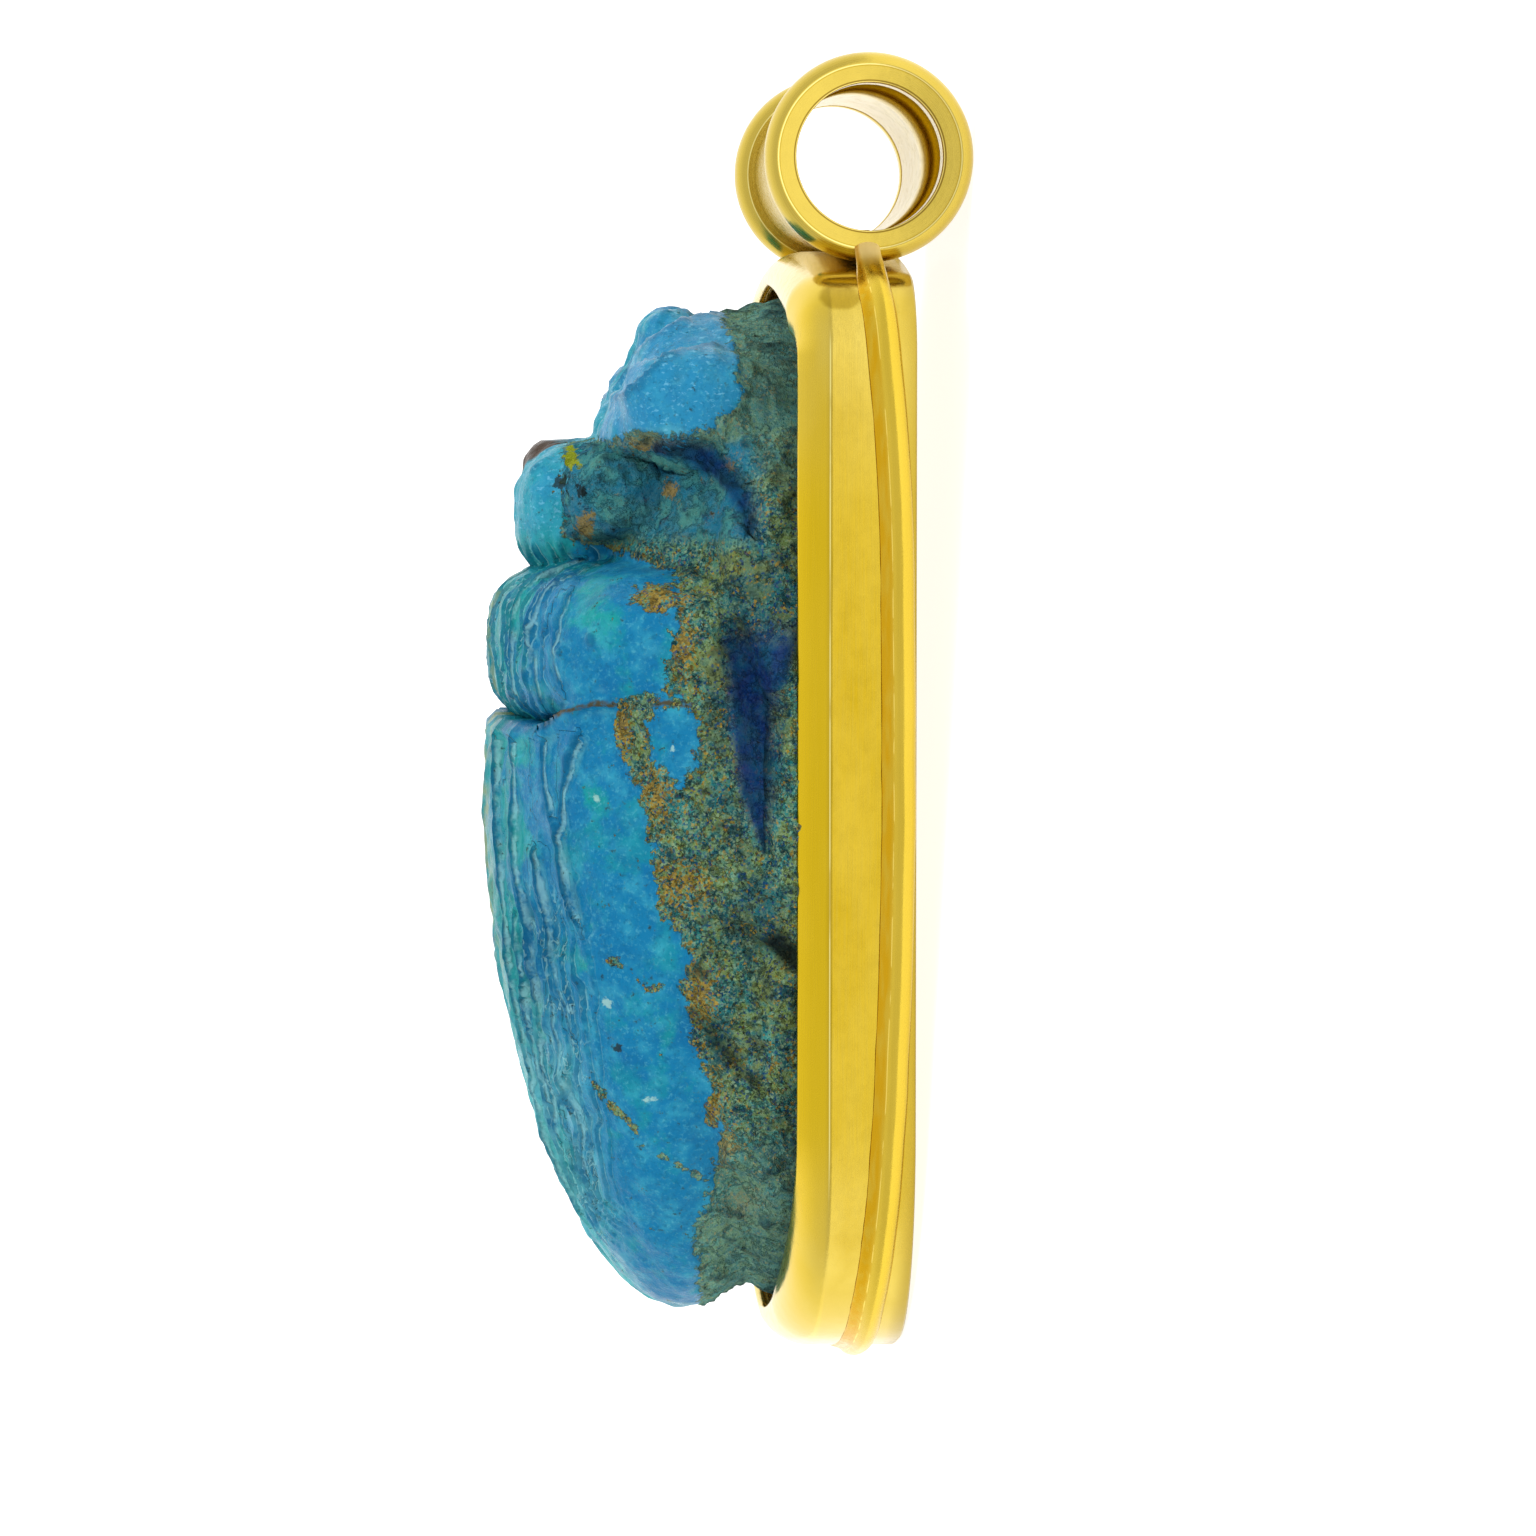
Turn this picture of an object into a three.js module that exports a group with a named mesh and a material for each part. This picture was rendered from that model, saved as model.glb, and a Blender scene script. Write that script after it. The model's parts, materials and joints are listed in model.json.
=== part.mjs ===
// A blue faience scarab amulet in a yellow-gold pendant mount.
//
// The scarab sits on a closed gold back plate inside a deep bezel band. A half-round wire
// runs round the outside of the band, and a tube bail with two rolled collars is soldered
// across its top. The pendant lies on its back: it rests on the two collars and on the
// lower end of the band.
//
// Pendant frame, in millimetres: +X across, along the bail; +Y towards the bail;
// +Z out of the front. Y = 0 is the middle of the band and Z = 0 its back edge.

import * as THREE from 'three';

// ---- driving dimensions -----------------------------------------------------------

const seam = 0.12; // clearance left between soldered or seated pieces

const band = {
  halfWidth: 15.85,
  topY: 23.85, // outside of the end under the bail
  lowerY: -24.15, // outside of the lower end
  sheet: 0.45, // gauge of the gold sheet
  topEndRadius: 70, // nearly straight end under the bail
  topCornerRadius: 3.5,
  lowerEndRadius: 34,
  lowerCornerRadius: 10,
  shoulder: 3.6, // height at which the flat wall starts to turn in
  rim: 4.95, // height of the rim along the sides
  topRimRise: 0.35, // extra height of the rim under the bail
  lowerRimRise: 0.6, // and at the lower end
  sideLean: 0.85, // how far the burnished lip leans in at the sides,
  endLean: 1.35, // at the ends
  cornerLean: 1.1, // and, added to both, at the corners
  edge: 0.06, // how far the lip's edge overhangs its inside
  insideStart: 0.1, // how far below the shoulder the inside starts to turn in
  insideBend: 0.45, // share of the lean and of the rise at the bend of the inside
  endSteps: 5,
  cornerSteps: 6,
  sideSteps: 6,
  lipSteps: 4,
};

const plate = { thickness: 0.5 };

const wire = {
  radius: 0.5,
  height: 0.53, // of its centre line at the middle of the sides
  rise: 1.25, // of the centre line from there to both ends
  topPower: 3.3, // how late it rises towards the bail
  lowerPower: 1.9, // and towards the lower end
  endX: 12.1, // where each end meets a collar
  taper: 1.6, // length of the tapered ends
  tip: 0.2, // share of the full section that is left at each end
  arcSteps: 5,
};

const bail = {
  y: 27.6,
  z: 1.6,
  halfLength: 11.3,
  bore: 3.12,
  tubeRadius: 3.58,
  waist: 0.12, // how much the tube narrows in the middle
  waistLength: 0.7, // over this share of its length
  collarRadius: 4.45,
  collarWidth: 1.8,
  collarFoot: 0.1, // how far the roll starts below the surface of the tube
  collarFullness: 0.7, // lower is fuller
  collarSteps: 6,
  flare: 0.25, // how far the bore opens at the mouth of a collar
  flareLength: 0.5,
  turns: 32,
};

const scarab = {
  halfWidth: 14.65,
  halfLength: 21.4,
  spineFront: 16.2, // the surface is measured outwards from a straight spine
  spineTail: -17, // between these two Y
  bodyRows: 37,
  frontRows: 9, // rows round the head end of the spine
  tailRows: 7,
  endReach: 6, // how far the measuring reaches out over each end of the spine
  lastRidgeAngle: 91, // columns follow the ridges of the back down to this angle
  flankAngles: [92, 95, 98, 101, 104, 107, 110, 113, 118, 125, 133, 155],
  searchStep: 0.03,
  searchHalvings: 10,
};

const base = { bottom: plate.thickness + seam, top: 5.7, power: 2.4, edge: 0.5 };

const core = { y: -0.3, z: 6, rx: 12.3, ry: 20, rz: 7.6, powers: [2.2, 2.2, 2.2] };
const skirt = { y: 0, z: 4, rx: 14.45, ry: 21.2, rz: 7, powers: [2.4, 2.4, 2.4] };

const elytra = {
  y: -0.35, z: 9, rx: 13.5, ry: 22.1, rz: 8.5, powers: [2.5, 1.75, 1.85],
  firstGroove: 7, // angle from the crest to the first groove, in degrees
  pitch: 12.5, // angle from groove to groove
  grooveDepth: 0.5,
  lastGroove: 66, // where the grooves fade out on the flank
  tailFade: [-21, -16], // Y between which they fade in from the tail
};

const pronotum = {
  y: 6.6, z: 8.8, rx: 13.4, ry: 4, rz: 8.6, powers: [2.2, 4, 2.3],
  grooveDepth: 0.25,
  grooveFade: [30, 55], // angles between which the grooves fade out
};

const suture = { y: 3.1, sideForward: 1.3, bend: [15, 60], width: 0.4 };

const crown = { y: 12.4, z: 10, rx: 4.4, ry: 3.2, rz: 6.2, powers: [3, 2.8, 3.4] };
const knob = { x: -1.1, y: 14.55, z: 14.4, rx: 1.9, ry: 1.1, rz: 1.3, powers: [2, 2, 2] };
const temple = { x: 4.7, y: 13.3, z: 12, rx: 2.7, ry: 1.9, rz: 2.1, powers: [2.5, 2.5, 2.5] };
const cheek = { x: 8, y: 16.9, z: 8.6, rx: 3.3, ry: 2.5, rz: 3.3, powers: [2.6, 2.6, 2.6] };

const clypeus = {
  y: 14.9, z: 6.8, rx: 10.6, ry: 6.2, rz: 7.2, powers: [2.4, 2.4, 2.4],
  rear: 15, // Y of the step behind the plate
  slopeTop: 12.5, // height of the sloping face where it leaves the crown
  slopeStart: 16.2, // Y of that place
  fall: 0.5, // drop of the face for each millimetre forwards
};

// Raised limbs and carved hollows on each flank: thick lines from one end to the other,
// with the radius at each end. X is the distance from the middle plane.
const limbs = [
  { from: [12.9, 3.6, 6.6], to: [11.9, 12, 6.4], radii: [1.1, 1.3] }, // fore leg
  { from: [11.9, 12, 6.4], to: [9.2, 16.8, 6.4], radii: [1.3, 1.5] },
  { from: [12.5, 4.6, 9.2], to: [13.2, -3.8, 6.7], radii: [1.1, 1.2] }, // middle leg
  { from: [12.4, 3.9, 10.3], to: [12.6, 1.6, 9.8], radii: [1, 0.9] },
  { from: [12.5, -6.6, 8.1], to: [10.9, -14.5, 6.5], radii: [1.2, 1.2] }, // hind leg
];
// The ridges that stand out as teeth along the front edge of the head.
const teeth = [
  { from: [0.9, 16, 11.7], to: [1.4, 19.7, 9.4], radii: [1, 1.7] },
  { from: [2.9, 15.9, 11.5], to: [5, 18.9, 9], radii: [0.9, 1.6] },
];
const hollows = [
  { from: [8.8, 13.3, 14.6], to: [12.6, 12.7, 9.8], radii: [2, 1.8], soft: 0.8 }, // behind the head
  { from: [9.5, 15.3, 10.7], to: [10.6, 14.4, 8.9], radii: [0.7, 0.9], soft: 0.4 }, // arched groove
  { from: [10.6, 14.4, 8.9], to: [12.2, 13, 7.3], radii: [0.9, 0.8], soft: 0.4 },
  { from: [12.2, 13, 7.3], to: [13.3, 11.2, 6.9], radii: [0.8, 0.5], soft: 0.4 },
  { from: [13.1, 7.3, 7.4], to: [13.8, 4.4, 6.5], radii: [0.9, 1], soft: 0.5 }, // under the wing case
  { from: [13.8, 4.4, 6.5], to: [14.5, -1.7, 6.2], radii: [1, 0.3], soft: 0.5 },
  { from: [13.6, -5.4, 7.7], to: [14.5, -6.1, 5.5], radii: [0.6, 0.85], soft: 0.6 }, // between the legs
  { from: [12.9, -8.5, 9.2], to: [13.4, -11.8, 6.4], radii: [0.35, 0.5], soft: 0.6 },
];

// How softly each part of the body runs into what it grows from.
const blend = {
  core: 0.8, base: 1.4, limb: 0.9, wing: 1.2, shield: 0.6, head: 0.6, knob: 0.4,
  slope: 1, rear: 1.4, tooth: 0.3, cheek: 0.3, crown: 0.8, temple: 0.5,
};

const materials = {
  faience: { color: 0x2b83b8, roughness: 0.38, metalness: 0 },
  gold: { color: 0xe0bb3c, roughness: 0.22, metalness: 1 },
};

// ---- small helpers ------------------------------------------------------------------

const radians = THREE.MathUtils.degToRad;
const smoothstep = THREE.MathUtils.smoothstep;

function smoothMin(a, b, blend) {
  const overlap = Math.max(blend - Math.abs(a - b), 0) / blend;
  return Math.min(a, b) - (overlap * overlap * blend) / 4;
}

function smoothMax(a, b, blend) {
  return -smoothMin(-a, -b, blend);
}

// Roughly the distance from a point to a rounded lump; negative inside it.
function lump(point, form) {
  const dx = point.x - (form.x ?? 0);
  const dy = point.y - form.y;
  const dz = point.z - form.z;
  const [px, py, pz] = form.powers;
  const sum =
    Math.abs(dx / form.rx) ** px + Math.abs(dy / form.ry) ** py + Math.abs(dz / form.rz) ** pz;
  const scale = Math.max(sum ** (3 / (px + py + pz)), 1e-3);
  return Math.hypot(dx, dy, dz) * (1 - 1 / scale);
}

// Distance from a point to a thick line whose radius changes from end to end.
function thickLine(point, line) {
  const start = new THREE.Vector3(...line.from);
  const along = new THREE.Vector3(...line.to).sub(start);
  const offset = point.clone().sub(start);
  const share = THREE.MathUtils.clamp(offset.dot(along) / along.lengthSq(), 0, 1);
  const radius = THREE.MathUtils.lerp(line.radii[0], line.radii[1], share);
  return offset.addScaledVector(along, -share).length() - radius;
}

// A closed surface through loops of points. The loops join up into a ring, or the first
// and the last are closed by a fan round their own middle.
function loft(loops, ring = false) {
  const size = loops[0].length;
  const points = loops.flat();
  const faces = [];
  const bands = ring ? loops.length : loops.length - 1;
  for (let i = 0; i < bands; i++) {
    const here = i * size;
    const next = ((i + 1) % loops.length) * size;
    for (let j = 0; j < size; j++) {
      const k = (j + 1) % size;
      faces.push(here + j, here + k, next + k, here + j, next + k, next + j);
    }
  }
  if (!ring) {
    for (const [loop, flip] of [[0, false], [loops.length - 1, true]]) {
      const middle = new THREE.Vector3();
      loops[loop].forEach((point) => middle.addScaledVector(point, 1 / size));
      const centre = points.push(middle) - 1;
      for (let j = 0; j < size; j++) {
        const a = loop * size + j;
        const b = loop * size + ((j + 1) % size);
        faces.push(centre, flip ? a : b, flip ? b : a);
      }
    }
  }
  const geometry = new THREE.BufferGeometry().setFromPoints(points);
  geometry.setIndex(faces);
  geometry.computeVertexNormals();
  return geometry;
}

function piece(name, geometry, material) {
  const mesh = new THREE.Mesh(geometry, new THREE.MeshStandardMaterial(materials[material]));
  mesh.name = name;
  return mesh;
}

// ---- the outline of the band ----------------------------------------------------------

// Points on an arc, each with the direction that faces outwards.
function arc(cx, cy, radius, fromAngle, toAngle, steps) {
  return Array.from({ length: steps }, (_, i) => {
    const angle = THREE.MathUtils.lerp(fromAngle, toAngle, i / steps);
    const nx = Math.cos(angle);
    const ny = Math.sin(angle);
    return { x: cx + radius * nx, y: cy + radius * ny, nx, ny };
  });
}

// One corner and half an end, from the middle of the end to the start of the side.
// The corner's arc runs on smoothly from the end's wide arc.
function quarterOutline(halfLength, endRadius, cornerRadius) {
  const cx = band.halfWidth - cornerRadius;
  const endY = halfLength - endRadius;
  const cy = endY + Math.sqrt((endRadius - cornerRadius) ** 2 - cx ** 2);
  const turn = Math.atan2(cy - endY, cx);
  return [
    ...arc(0, endY, endRadius, Math.PI / 2, turn, band.endSteps),
    ...arc(cx, cy, cornerRadius, turn, 0, band.cornerSteps),
    { x: band.halfWidth, y: cy, nx: 1, ny: 0 },
  ];
}

// The right-hand half from the middle of the top to the middle of the lower end.
function halfOutline() {
  const top = quarterOutline(band.topY, band.topEndRadius, band.topCornerRadius);
  const lower = quarterOutline(-band.lowerY, band.lowerEndRadius, band.lowerCornerRadius)
    .map((p) => ({ ...p, y: -p.y, ny: -p.ny }))
    .reverse();
  const topY = top.at(-1).y;
  const lowerY = lower[0].y;
  const side = Array.from({ length: band.sideSteps - 1 }, (_, i) => ({
    x: band.halfWidth,
    y: THREE.MathUtils.lerp(topY, lowerY, (i + 1) / band.sideSteps),
    nx: 1,
    ny: 0,
  }));
  return [...top, ...side, ...lower];
}

const mirror = (p) => ({ ...p, x: -p.x, nx: -p.nx });

function wholeOutline() {
  const right = halfOutline();
  return [...right, ...right.slice(1, -1).reverse().map(mirror)];
}

// A point at a distance inside the outline and at a height.
const inset = (p, distance, z) => new THREE.Vector3(p.x - p.nx * distance, p.y - p.ny * distance, z);

// ---- gold pieces ----------------------------------------------------------------------

// The lip leans in least along the sides, where it holds the scarab, and most at the
// corners, where it has to close over them.
function lipAt(p) {
  const lean =
    band.sideLean * p.nx ** 2 + band.endLean * p.ny ** 2 + band.cornerLean * Math.abs(2 * p.nx * p.ny);
  const rise = p.y > 0 ? band.topRimRise : band.lowerRimRise;
  return { lean, rim: band.rim + rise * p.ny ** 2 };
}

function bandSection(p) {
  const { lean, rim } = lipAt(p);
  const rise = rim - band.shoulder;
  const turned = Array.from({ length: band.lipSteps + 1 }, (_, i) => {
    const angle = (Math.PI / 2) * (i / band.lipSteps);
    return [lean * (1 - Math.cos(angle)), band.shoulder + rise * Math.sin(angle)];
  });
  const outer = [[0, 0], ...turned];
  const inner = [
    [lean + band.edge, rim - band.sheet],
    [band.sheet + lean * band.insideBend, band.shoulder + rise * band.insideBend],
    [band.sheet, band.shoulder - band.insideStart],
    [band.sheet, 0],
  ];
  return [...outer, ...inner].map(([distance, z]) => inset(p, distance, z));
}

function bezelBand() {
  return piece('bezel_band', loft(wholeOutline().map(bandSection), true), 'gold');
}

function backPlate() {
  const edge = wholeOutline();
  const loopAt = (z) => edge.map((p) => inset(p, band.sheet + seam, z)).reverse();
  return piece('back_plate', loft([loopAt(0), loopAt(plate.thickness)]), 'gold');
}

// Height of the wire's centre line: low along the sides, climbing towards both ends.
function wireHeight(y) {
  const share = y > 0 ? y / band.topY : y / band.lowerY;
  return wire.height + wire.rise * share ** (y > 0 ? wire.topPower : wire.lowerPower);
}

function sideWire() {
  const right = halfOutline().filter((p) => p.y < 0 || p.x > wire.endX);
  const route = [...right, ...right.slice(0, -1).reverse().map(mirror)];
  const loops = route.map((p) => {
    const toEnd = p.y > 0 ? Math.abs(p.x) - wire.endX : wire.taper;
    const fullness = THREE.MathUtils.clamp(wire.tip + toEnd / wire.taper, wire.tip, 1);
    const radius = wire.radius * Math.sqrt(fullness);
    return Array.from({ length: wire.arcSteps + 1 }, (_, i) => {
      const angle = Math.PI * (i / wire.arcSteps);
      const out = seam / 2 + radius * Math.sin(angle);
      return inset(p, -out, wireHeight(p.y) - radius * Math.cos(angle));
    });
  });
  return piece('side_wire', loft(loops), 'gold');
}

// Turns a profile of [distance from the axis, place along it] round the bail's axis.
function turnedOnBail(profile) {
  const points = profile.map(([radius, along]) => new THREE.Vector2(radius, along));
  const geometry = new THREE.LatheGeometry(points, bail.turns);
  geometry.rotateZ(-Math.PI / 2);
  geometry.translate(0, bail.y, bail.z);
  return geometry;
}

function bailTube() {
  const end = bail.halfLength - bail.collarWidth - seam;
  const waisted = bail.tubeRadius - bail.waist;
  const waistEnd = end * bail.waistLength;
  const profile = [
    [bail.bore, -end],
    [bail.tubeRadius, -end],
    [waisted, -waistEnd],
    [waisted, waistEnd],
    [bail.tubeRadius, end],
    [bail.bore, end],
    [bail.bore, -end],
  ];
  return piece('bail_tube', turnedOnBail(profile), 'gold');
}

// A rolled collar: a fat rounded ring whose mouth opens a little.
function bailCollar(name, side) {
  const inner = bail.halfLength - bail.collarWidth;
  const depth = bail.collarRadius - bail.tubeRadius + bail.collarFoot;
  const rolled = Array.from({ length: bail.collarSteps + 1 }, (_, i) => {
    const angle = Math.PI * (i / bail.collarSteps);
    const along = inner + (bail.collarWidth / 2) * (1 - Math.cos(angle));
    return [bail.collarRadius - depth * (1 - Math.sin(angle) ** bail.collarFullness), along];
  });
  const outerEnd = bail.halfLength;
  const profile = [
    [bail.bore, inner],
    ...rolled,
    [bail.bore + bail.flare, outerEnd],
    [bail.bore, outerEnd - bail.flareLength],
    [bail.bore, inner],
  ];
  const placed = side > 0 ? profile : profile.map(([radius, along]) => [radius, -along]).reverse();
  return piece(name, turnedOnBail(placed), 'gold');
}

// ---- the scarab -------------------------------------------------------------------------

// How deep a set of evenly spaced grooves cuts at an angle from the crest of the back.
function grooves(angle, first, pitch) {
  const phase = (angle - first) / pitch;
  return 0.5 + 0.5 * Math.cos(2 * Math.PI * phase);
}

// The angle from the crest of the back, in degrees, on the wing cases' own cross-section.
function backAngle(p) {
  return THREE.MathUtils.radToDeg(Math.atan2(p.x / elytra.rx, (p.z - elytra.z) / elytra.rz));
}

// The flat-bottomed oval that sits in the bezel.
function basePlate(p) {
  const plan = (p.x / scarab.halfWidth) ** base.power + Math.abs(p.y / scarab.halfLength) ** base.power;
  const scale = Math.max(plan ** (1 / base.power), 1e-3);
  const side = Math.hypot(p.x, p.y) * (1 - 1 / scale);
  return smoothMax(side, p.z - base.top, base.edge);
}

// The seam between the pronotum and the wing cases curves forwards on the flanks.
const sutureY = (angle) => suture.y + suture.sideForward * smoothstep(angle, ...suture.bend);

function wingCases(p, angle) {
  const body = lump(p, elytra);
  const fade = 1 - smoothstep(angle, elytra.lastGroove - elytra.pitch, elytra.lastGroove);
  const cut = elytra.grooveDepth * grooves(angle, elytra.firstGroove, elytra.pitch) * fade;
  const tail = smoothstep(p.y, ...elytra.tailFade);
  return smoothMax(body + cut * tail, p.y - sutureY(angle), suture.width);
}

function shield(p, angle) {
  const fade = 1 - smoothstep(angle, ...pronotum.grooveFade);
  const cut = pronotum.grooveDepth * grooves(angle, elytra.firstGroove, elytra.pitch) * fade;
  return smoothMax(lump(p, pronotum) + cut, sutureY(angle) - p.y, suture.width);
}

// The crown with the temples beside it, and the toothed plate that slopes down in front.
function head(p) {
  const fall = clypeus.slopeTop - clypeus.fall * (p.y - clypeus.slopeStart);
  const slope = (p.z - fall) / Math.hypot(1, clypeus.fall);
  let form = smoothMax(lump(p, clypeus), slope, blend.slope);
  form = smoothMax(form, clypeus.rear - p.y, blend.rear);
  for (const tooth of teeth) form = smoothMin(form, thickLine(p, tooth), blend.tooth);
  form = smoothMin(form, lump(p, cheek), blend.cheek);
  form = smoothMin(form, lump(p, crown), blend.crown);
  return smoothMin(form, lump(p, temple), blend.temple);
}

// The whole faience body as one rounded form, alike on both sides of the middle plane
// but for the worn knob on the crown.
function scarabForm(point) {
  const p = new THREE.Vector3(Math.abs(point.x), point.y, point.z);
  const angle = backAngle(p);
  let form = smoothMin(lump(p, core), lump(p, skirt), blend.core);
  form = smoothMin(form, basePlate(p), blend.base);
  for (const limb of limbs) form = smoothMin(form, thickLine(p, limb), blend.limb);
  form = smoothMin(form, wingCases(p, angle), blend.wing);
  form = smoothMin(form, shield(p, angle), blend.shield);
  form = smoothMin(form, head(p), blend.head);
  for (const hollow of hollows) form = smoothMax(form, -thickLine(p, hollow), hollow.soft);
  form = smoothMin(form, lump(point, knob), blend.knob);
  return smoothMax(form, base.bottom - p.z, base.edge / 2);
}

// The place where a ray from the spine first leaves the form.
function surfacePoint(start, direction) {
  const at = (share) => start.clone().addScaledVector(direction, share);
  let outside = scarab.searchStep;
  while (scarabForm(at(outside)) < 0) outside += scarab.searchStep;
  let inside = outside - scarab.searchStep;
  for (let i = 0; i < scarab.searchHalvings; i++) {
    const middle = (inside + outside) / 2;
    if (scarabForm(at(middle)) < 0) inside = middle;
    else outside = middle;
  }
  return at(inside);
}

// Angles of the sampling columns, from the crest down one side to the underside. They
// follow the grooves of the back, so that each ridge and each groove has its own edge.
function columnAngles() {
  const half = elytra.pitch / 2;
  const back = [elytra.firstGroove / 2];
  for (let angle = elytra.firstGroove; angle < scarab.lastRidgeAngle; angle += half) back.push(angle);
  const right = [...back, ...scarab.flankAngles];
  return [0, ...right, 180, ...right.map((angle) => 360 - angle).reverse()];
}

// Where each row of the surface starts on the spine and how far it tilts towards an end.
function surfaceRows() {
  const rows = [];
  for (let i = 1; i < scarab.frontRows; i++) {
    rows.push({ y: scarab.spineFront, tilt: (Math.PI / 2) * (1 - i / scarab.frontRows) });
  }
  for (let i = 0; i <= scarab.bodyRows; i++) {
    const share = i / scarab.bodyRows;
    rows.push({ y: THREE.MathUtils.lerp(scarab.spineFront, scarab.spineTail, share), tilt: 0 });
  }
  for (let i = 1; i < scarab.tailRows; i++) {
    rows.push({ y: scarab.spineTail, tilt: -(Math.PI / 2) * (i / scarab.tailRows) });
  }
  return rows;
}

function scarabBody() {
  const columns = columnAngles().map(radians).reverse();
  const loops = surfaceRows().map(({ y, tilt }) => {
    const start = new THREE.Vector3(0, y, elytra.z);
    return columns.map((column) => {
      const direction = new THREE.Vector3(
        elytra.rx * Math.cos(tilt) * Math.sin(column),
        scarab.endReach * Math.sin(tilt),
        elytra.rz * Math.cos(tilt) * Math.cos(column),
      );
      return surfacePoint(start, direction);
    });
  });
  return piece('scarab', loft(loops), 'faience');
}

// ---- the pendant, laid on its back --------------------------------------------------------

const pendant = new THREE.Group();
pendant.add(
  scarabBody(),
  bezelBand(),
  backPlate(),
  sideWire(),
  bailTube(),
  bailCollar('bail_collar_right', 1),
  bailCollar('bail_collar_left', -1),
);

// The collars stand proud of the back, so the pendant tips until they and the lower end
// of the band touch the same level surface.
const span = bail.y - band.lowerY;
pendant.rotation.x = Math.asin(bail.collarRadius / Math.hypot(span, bail.z)) - Math.atan2(bail.z, span);
pendant.updateMatrixWorld(true);

const box = new THREE.Box3().setFromObject(pendant, true);
const middle = box.getCenter(new THREE.Vector3());
pendant.position.set(-middle.x, -middle.y, -box.min.z);

const model = new THREE.Group();
model.add(pendant);

export default model;
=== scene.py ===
# A blue faience scarab amulet in a gold pendant mount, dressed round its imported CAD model.
# The pendant lies on its back, with the bail towards +Y.
import json
import math
from functools import partialmethod
from types import SimpleNamespace as Sizes

import bpy
import numpy as np
from mathutils import Matrix, Vector


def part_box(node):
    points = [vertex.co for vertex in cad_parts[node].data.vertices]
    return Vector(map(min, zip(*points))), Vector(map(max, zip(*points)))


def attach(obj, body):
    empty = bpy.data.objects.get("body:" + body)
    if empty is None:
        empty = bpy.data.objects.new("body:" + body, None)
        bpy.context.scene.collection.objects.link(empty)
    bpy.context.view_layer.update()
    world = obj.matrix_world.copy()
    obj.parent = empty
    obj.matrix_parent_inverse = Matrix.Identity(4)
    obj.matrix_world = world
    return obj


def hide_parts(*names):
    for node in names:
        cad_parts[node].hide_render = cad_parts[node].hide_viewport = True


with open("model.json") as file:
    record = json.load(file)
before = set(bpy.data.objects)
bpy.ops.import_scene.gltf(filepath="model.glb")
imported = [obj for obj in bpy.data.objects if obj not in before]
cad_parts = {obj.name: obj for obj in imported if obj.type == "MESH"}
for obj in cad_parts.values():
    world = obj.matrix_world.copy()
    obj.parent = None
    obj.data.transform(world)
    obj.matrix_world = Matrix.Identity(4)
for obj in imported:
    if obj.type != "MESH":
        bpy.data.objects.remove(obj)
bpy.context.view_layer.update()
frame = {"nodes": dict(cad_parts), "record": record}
scene = bpy.context.scene

MM = 0.001  # lengths below are in millimetres, in the pendant's own frame

# ---- the pendant's own frame -------------------------------------
# +X runs across the pendant along the bail, +Y towards the bail and +Z out of the front.
# Y = 0 is the middle of the band and Z = 0 the gold back. The mount in the record lies on
# that back, so its place and axis give the way from this frame to the world.

BACK_POINT = Vector((0, -10, 0))


def pendant_to_world():
    mount = frame["record"]["mounts"][0]
    turn = Matrix.Rotation(math.atan2(mount["axis"][1], -mount["axis"][2]), 4, "X")
    place = Vector(mount["pos_m"]) - turn.to_3x3() @ (BACK_POINT * MM)
    return Matrix.Translation(place) @ turn


TO_WORLD = pendant_to_world()
TO_PENDANT = TO_WORLD.inverted()


def centre_of(node):
    """Middle of a CAD node's box, in the pendant's frame."""
    low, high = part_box(node)
    return (TO_PENDANT @ ((low + high) / 2)) / MM


def size_of(node):
    low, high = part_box(node)
    return (high - low) / MM


# ---- numbers on arrays of points ---------------------------------


def ramp(value, start, end):
    """0 to 1, smoothly, as a value goes from start to end."""
    share = np.clip((value - start) / (end - start), 0, 1)
    return share * share * (3 - 2 * share)


def smooth_min(a, b, blend):
    overlap = np.maximum(blend - np.abs(a - b), 0) / blend
    return np.minimum(a, b) - overlap**2 * blend / 4


def smooth_max(a, b, blend):
    return -smooth_min(-a, -b, blend)


def lump(p, centre, radii, powers):
    """Roughly the distance from points to a rounded lump; negative inside it."""
    offset = p - np.array(centre)
    total = sum(np.abs(offset[..., i] / radii[i]) ** powers[i] for i in range(3))
    scale = np.maximum(total ** (3 / sum(powers)), 1e-3)
    return np.linalg.norm(offset, axis=-1) * (1 - 1 / scale)


def thick_line(p, start, end, radii):
    """Distance from points to a thick line whose radius changes from end to end."""
    start, along = np.array(start), np.array(end) - np.array(start)
    offset = p - start
    share = np.clip(offset @ along / (along @ along), 0, 1)
    nearest = offset - share[..., None] * along
    return np.linalg.norm(nearest, axis=-1) - (radii[0] + (radii[1] - radii[0]) * share)


def from_path(u, v, path):
    """Distance in a plane from points (u, v) to a path, and 1 or -1 for the side they are on."""
    best, sign = np.full(u.shape, np.inf), np.zeros(u.shape)
    for (u0, v0), (u1, v1) in zip(path, path[1:]):
        du, dv = u1 - u0, v1 - v0
        share = np.clip(((u - u0) * du + (v - v0) * dv) / (du * du + dv * dv), 0, 1)
        distance = np.hypot(u - u0 - share * du, v - v0 - share * dv)
        sign = np.where(distance < best, np.sign((u - u0) * dv - (v - v0) * du), sign)
        best = np.minimum(distance, best)
    return best, sign


def distance_to_path(u, v, path):
    return from_path(u, v, path)[0]


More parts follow.
